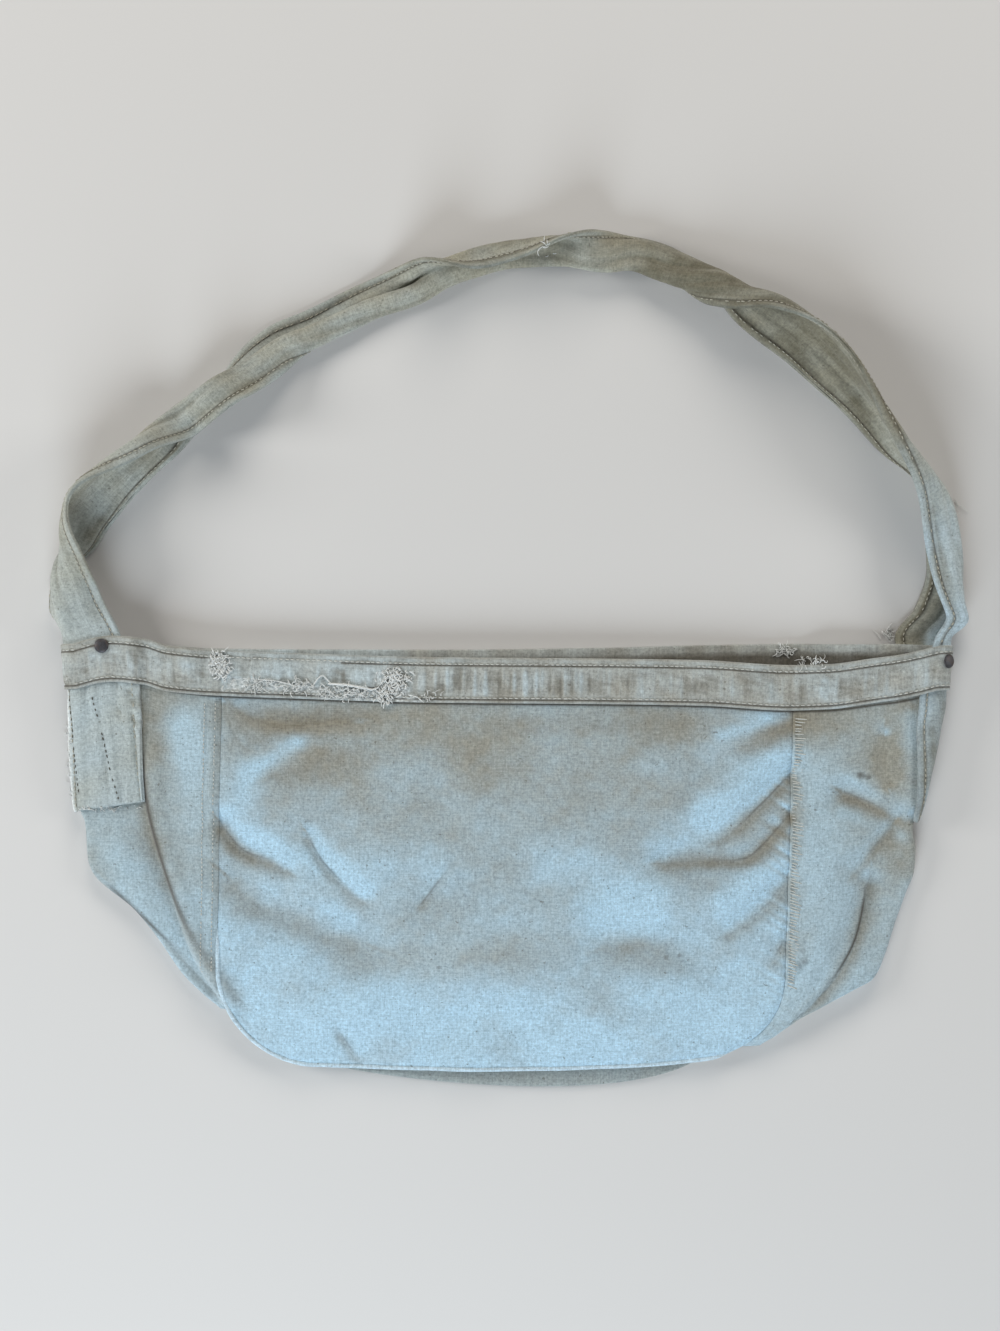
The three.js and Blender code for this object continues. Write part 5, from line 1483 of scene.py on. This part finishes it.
# %% [markdown]
# ## Loose threads
# Along the tear and at the worn corners the yarns have come loose. Each is a thin curved tube that starts on
# the cloth and bends back to it. Most are placed at random round a few spots, and a few long ones are listed
# one by one. Hair particles would do as well, but tubes export as they are. The height of the cloth below
# comes from a coarse map of the highest point in each small square.

# %% A map of the top of the cloths
CELL = 3.0
mapped = (front_points, wings["left"]["sections"], wings["right"]["sections"], back_points, band_points,
          strap_points)
cloth_points = np.concatenate([values.reshape(-1, 3) for values in mapped])
map_corner = cloth_points[:, :2].min(axis=0)
map_size = ((cloth_points[:, :2].max(axis=0) - map_corner) / CELL).astype(int) + 2
top_map = np.zeros(map_size)
cells = ((cloth_points[:, :2] - map_corner) / CELL).astype(int)
np.maximum.at(top_map, (cells[:, 0], cells[:, 1]), cloth_points[:, 2])


def top_of(x, y):
    i = np.clip(((x - map_corner[0]) / CELL).astype(int), 0, map_size[0] - 1)
    j = np.clip(((y - map_corner[1]) / CELL).astype(int), 0, map_size[1] - 1)
    return top_map[i, j]


# %% Frayed spots, and yarns listed with their thickness
FRAYS = table("x y wide high count length thick", [
    (-220, -4, 7, 10, 90, 5, 0.45), (-218, -6, 6, 9, 60, 5, 0.30), (-190, -19, 18, 3, 60, 6, 0.28),
    (-160, -21, 14, 3, 50, 6, 0.28), (-122, -25, 26, 4, 110, 5, 0.32), (-86, -15, 8, 8, 110, 5, 0.45),
    (-94, -27, 8, 5, 60, 5, 0.42), (-88, -18, 9, 9, 60, 5, 0.30), (208, 6, 9, 3, 40, 5, 0.30),
    (229, -2, 10, 3, 40, 5, 0.30), (27, 309, 4, 3, 14, 6, 0.30), (338, 118, 3, 8, 14, 10, 0.22),
    (287, 19, 6, 4, 16, 8, 0.25), (-335, -65, 2, 40, 90, 4, 0.25), (-60, -28, 12, 2, 16, 4, 0.25),
    (-310, -113, 24, 1.5, 60, 3, 0.25),
])
YARNS = [
    (0.95, [(-137, -18.6), (-124, -19.4), (-112, -21.4), (-103, -23.4), (-98.5, -21.0)]),
    (0.45, [(-149, -21), (-146, -16), (-141.5, -11.5), (-138, -15.5), (-132, -21)]),
    (0.40, [(-190, -15.5), (-176, -16.5), (-166, -19), (-156, -22)]),
    (0.40, [(-77, -27), (-70, -28.5), (-65, -33)]),
]
FRAY_SHAPE = np.array([0.7, 1, 1, 1, 1, 0.9, 0.7, 0.3])
THREAD_STEPS = len(FRAY_SHAPE)


# %% Loose threads
def frayed(row, draw):
    count = int(row["count"])
    length = row["length"] * draw.uniform(0.5, 1.3, count)
    heading = draw.uniform(0, 2 * math.pi, count)
    bend = draw.normal(0, 3.0, count)
    t = np.linspace(0, 1, THREAD_STEPS)
    way = heading[:, None] + bend[:, None] * t
    step = length[:, None] / (THREAD_STEPS - 1)
    x = row["x"] + draw.normal(0, 0.5, count)[:, None] * row["wide"] + np.cumsum(step * np.cos(way), axis=1)
    y = row["y"] + draw.normal(0, 0.5, count)[:, None] * row["high"] + np.cumsum(step * np.sin(way), axis=1)
    lift = draw.uniform(0.4, 1.8, count)[:, None] * np.sin(np.pi * t)
    ground = np.broadcast_to(top_of(x[:, :1], y[:, :1]), x.shape)
    return np.stack([x, y, ground + 0.4 + lift], -1)


def laid_yarn(points):
    at = np.linspace(0, 1, len(points))
    x, y = (np.interp(np.linspace(0, 1, THREAD_STEPS), at, column) for column in np.array(points).T)
    return np.stack([x, y, top_of(x, y) + 1.0], -1)


draw = np.random.default_rng(91)
fray_paths = np.concatenate([frayed(row, draw) for row in rows_of(FRAYS)])
fray_thick = np.repeat(FRAYS["thick"], FRAYS["count"].astype(int)) * draw.uniform(0.7, 1.2, len(fray_paths))
fray_paths = np.concatenate([fray_paths, [laid_yarn(points) for _, points in YARNS]])
fray_thick = np.r_[fray_thick, [thick for thick, _ in YARNS]]
fray_mesh = tube_mesh(fray_paths, UPWARD, fray_thick, FRAY_SHAPE)
loose_threads = make_piece("loose_threads", *fray_mesh, "band_cloth", white_thread)

# %% [markdown]
# ## Rivets
# Iron rivets with low domed heads hold the strap to the mouth. A Screw modifier could turn the profile of
# each. Here the rings are written out, so that they stand square to the cloth that they go through, and the
# material gives them pits and rust.

# %% Turn the rivets
RIVETS = table("side run below burr", [(-1, -22, 5, 1), (1, 3, 10, 0), (1, 37, 8, 1)])
RIVET_NODES = ("rivet_left", "rivet_right_front", "rivet_right_back")
HEAD, HEAD_RISE, SHANK, BURR, BURR_RISE, SEAT = 5.3, 1.7, 2.4, 4.2, 0.9, 0.3
RIVET_SIDES, RIVET_TIP, RIM_RISE = 40, 0.05, 0.3


def rivet_profile(burr):
    foot, crown = -(CANVAS / 2 + LAYER_GAP + HEM_CLOTH) - SEAT, BAND + SEAT
    end, dome_rise = foot - BURR_RISE, HEAD_RISE - RIM_RISE
    bends = np.linspace(0, 1.45, 9)
    dome = [(HEAD * math.cos(a), crown + RIM_RISE + dome_rise * math.sin(a)) for a in bends]
    tail = [(RIVET_TIP, end), (BURR * 0.8, end), (BURR, foot - BURR_RISE / 2), (BURR, foot)]
    start = tail if burr else [(RIVET_TIP, foot)]
    return start + [(SHANK, foot), (SHANK, crown), (HEAD, crown)] + dome + [(RIVET_TIP, crown + HEAD_RISE)]


def turned(profile, point, axis):
    aside = unit(np.cross(axis, (0.3, 0.9, 0.1)))
    other = np.cross(axis, aside)
    turn = np.arange(RIVET_SIDES) * 2 * math.pi / RIVET_SIDES
    ring_way = np.cos(turn)[:, None] * aside + np.sin(turn)[:, None] * other
    points = np.concatenate([point + axis * high + ring_way * wide for wide, high in profile])
    corner = np.arange(len(points)).reshape(-1, RIVET_SIDES)
    after = np.roll(corner, -1, axis=1)
    walls = np.stack([corner[:-1], after[:-1], after[1:], corner[1:]], -1).reshape(-1, 4).tolist()
    fans = [list(corner[0][::-1]), list(corner[-1])]
    return points, walls + fans


for node, row in zip(RIVET_NODES, rows_of(RIVETS)):
    section = section_at(wings["left" if row["side"] < 0 else "right"], row["below"])
    layer, runs = layer_of(section, 0)
    point, axis = along_run(layer, runs, row["run"]), along_run(section[1], runs, row["run"])
    points, faces = turned(rivet_profile(row["burr"]), point, unit(axis))
    rivet = make_piece(node + "_turned", points, np.array(faces, dtype=object), "rivet_iron", rivet_iron)
    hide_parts(node)
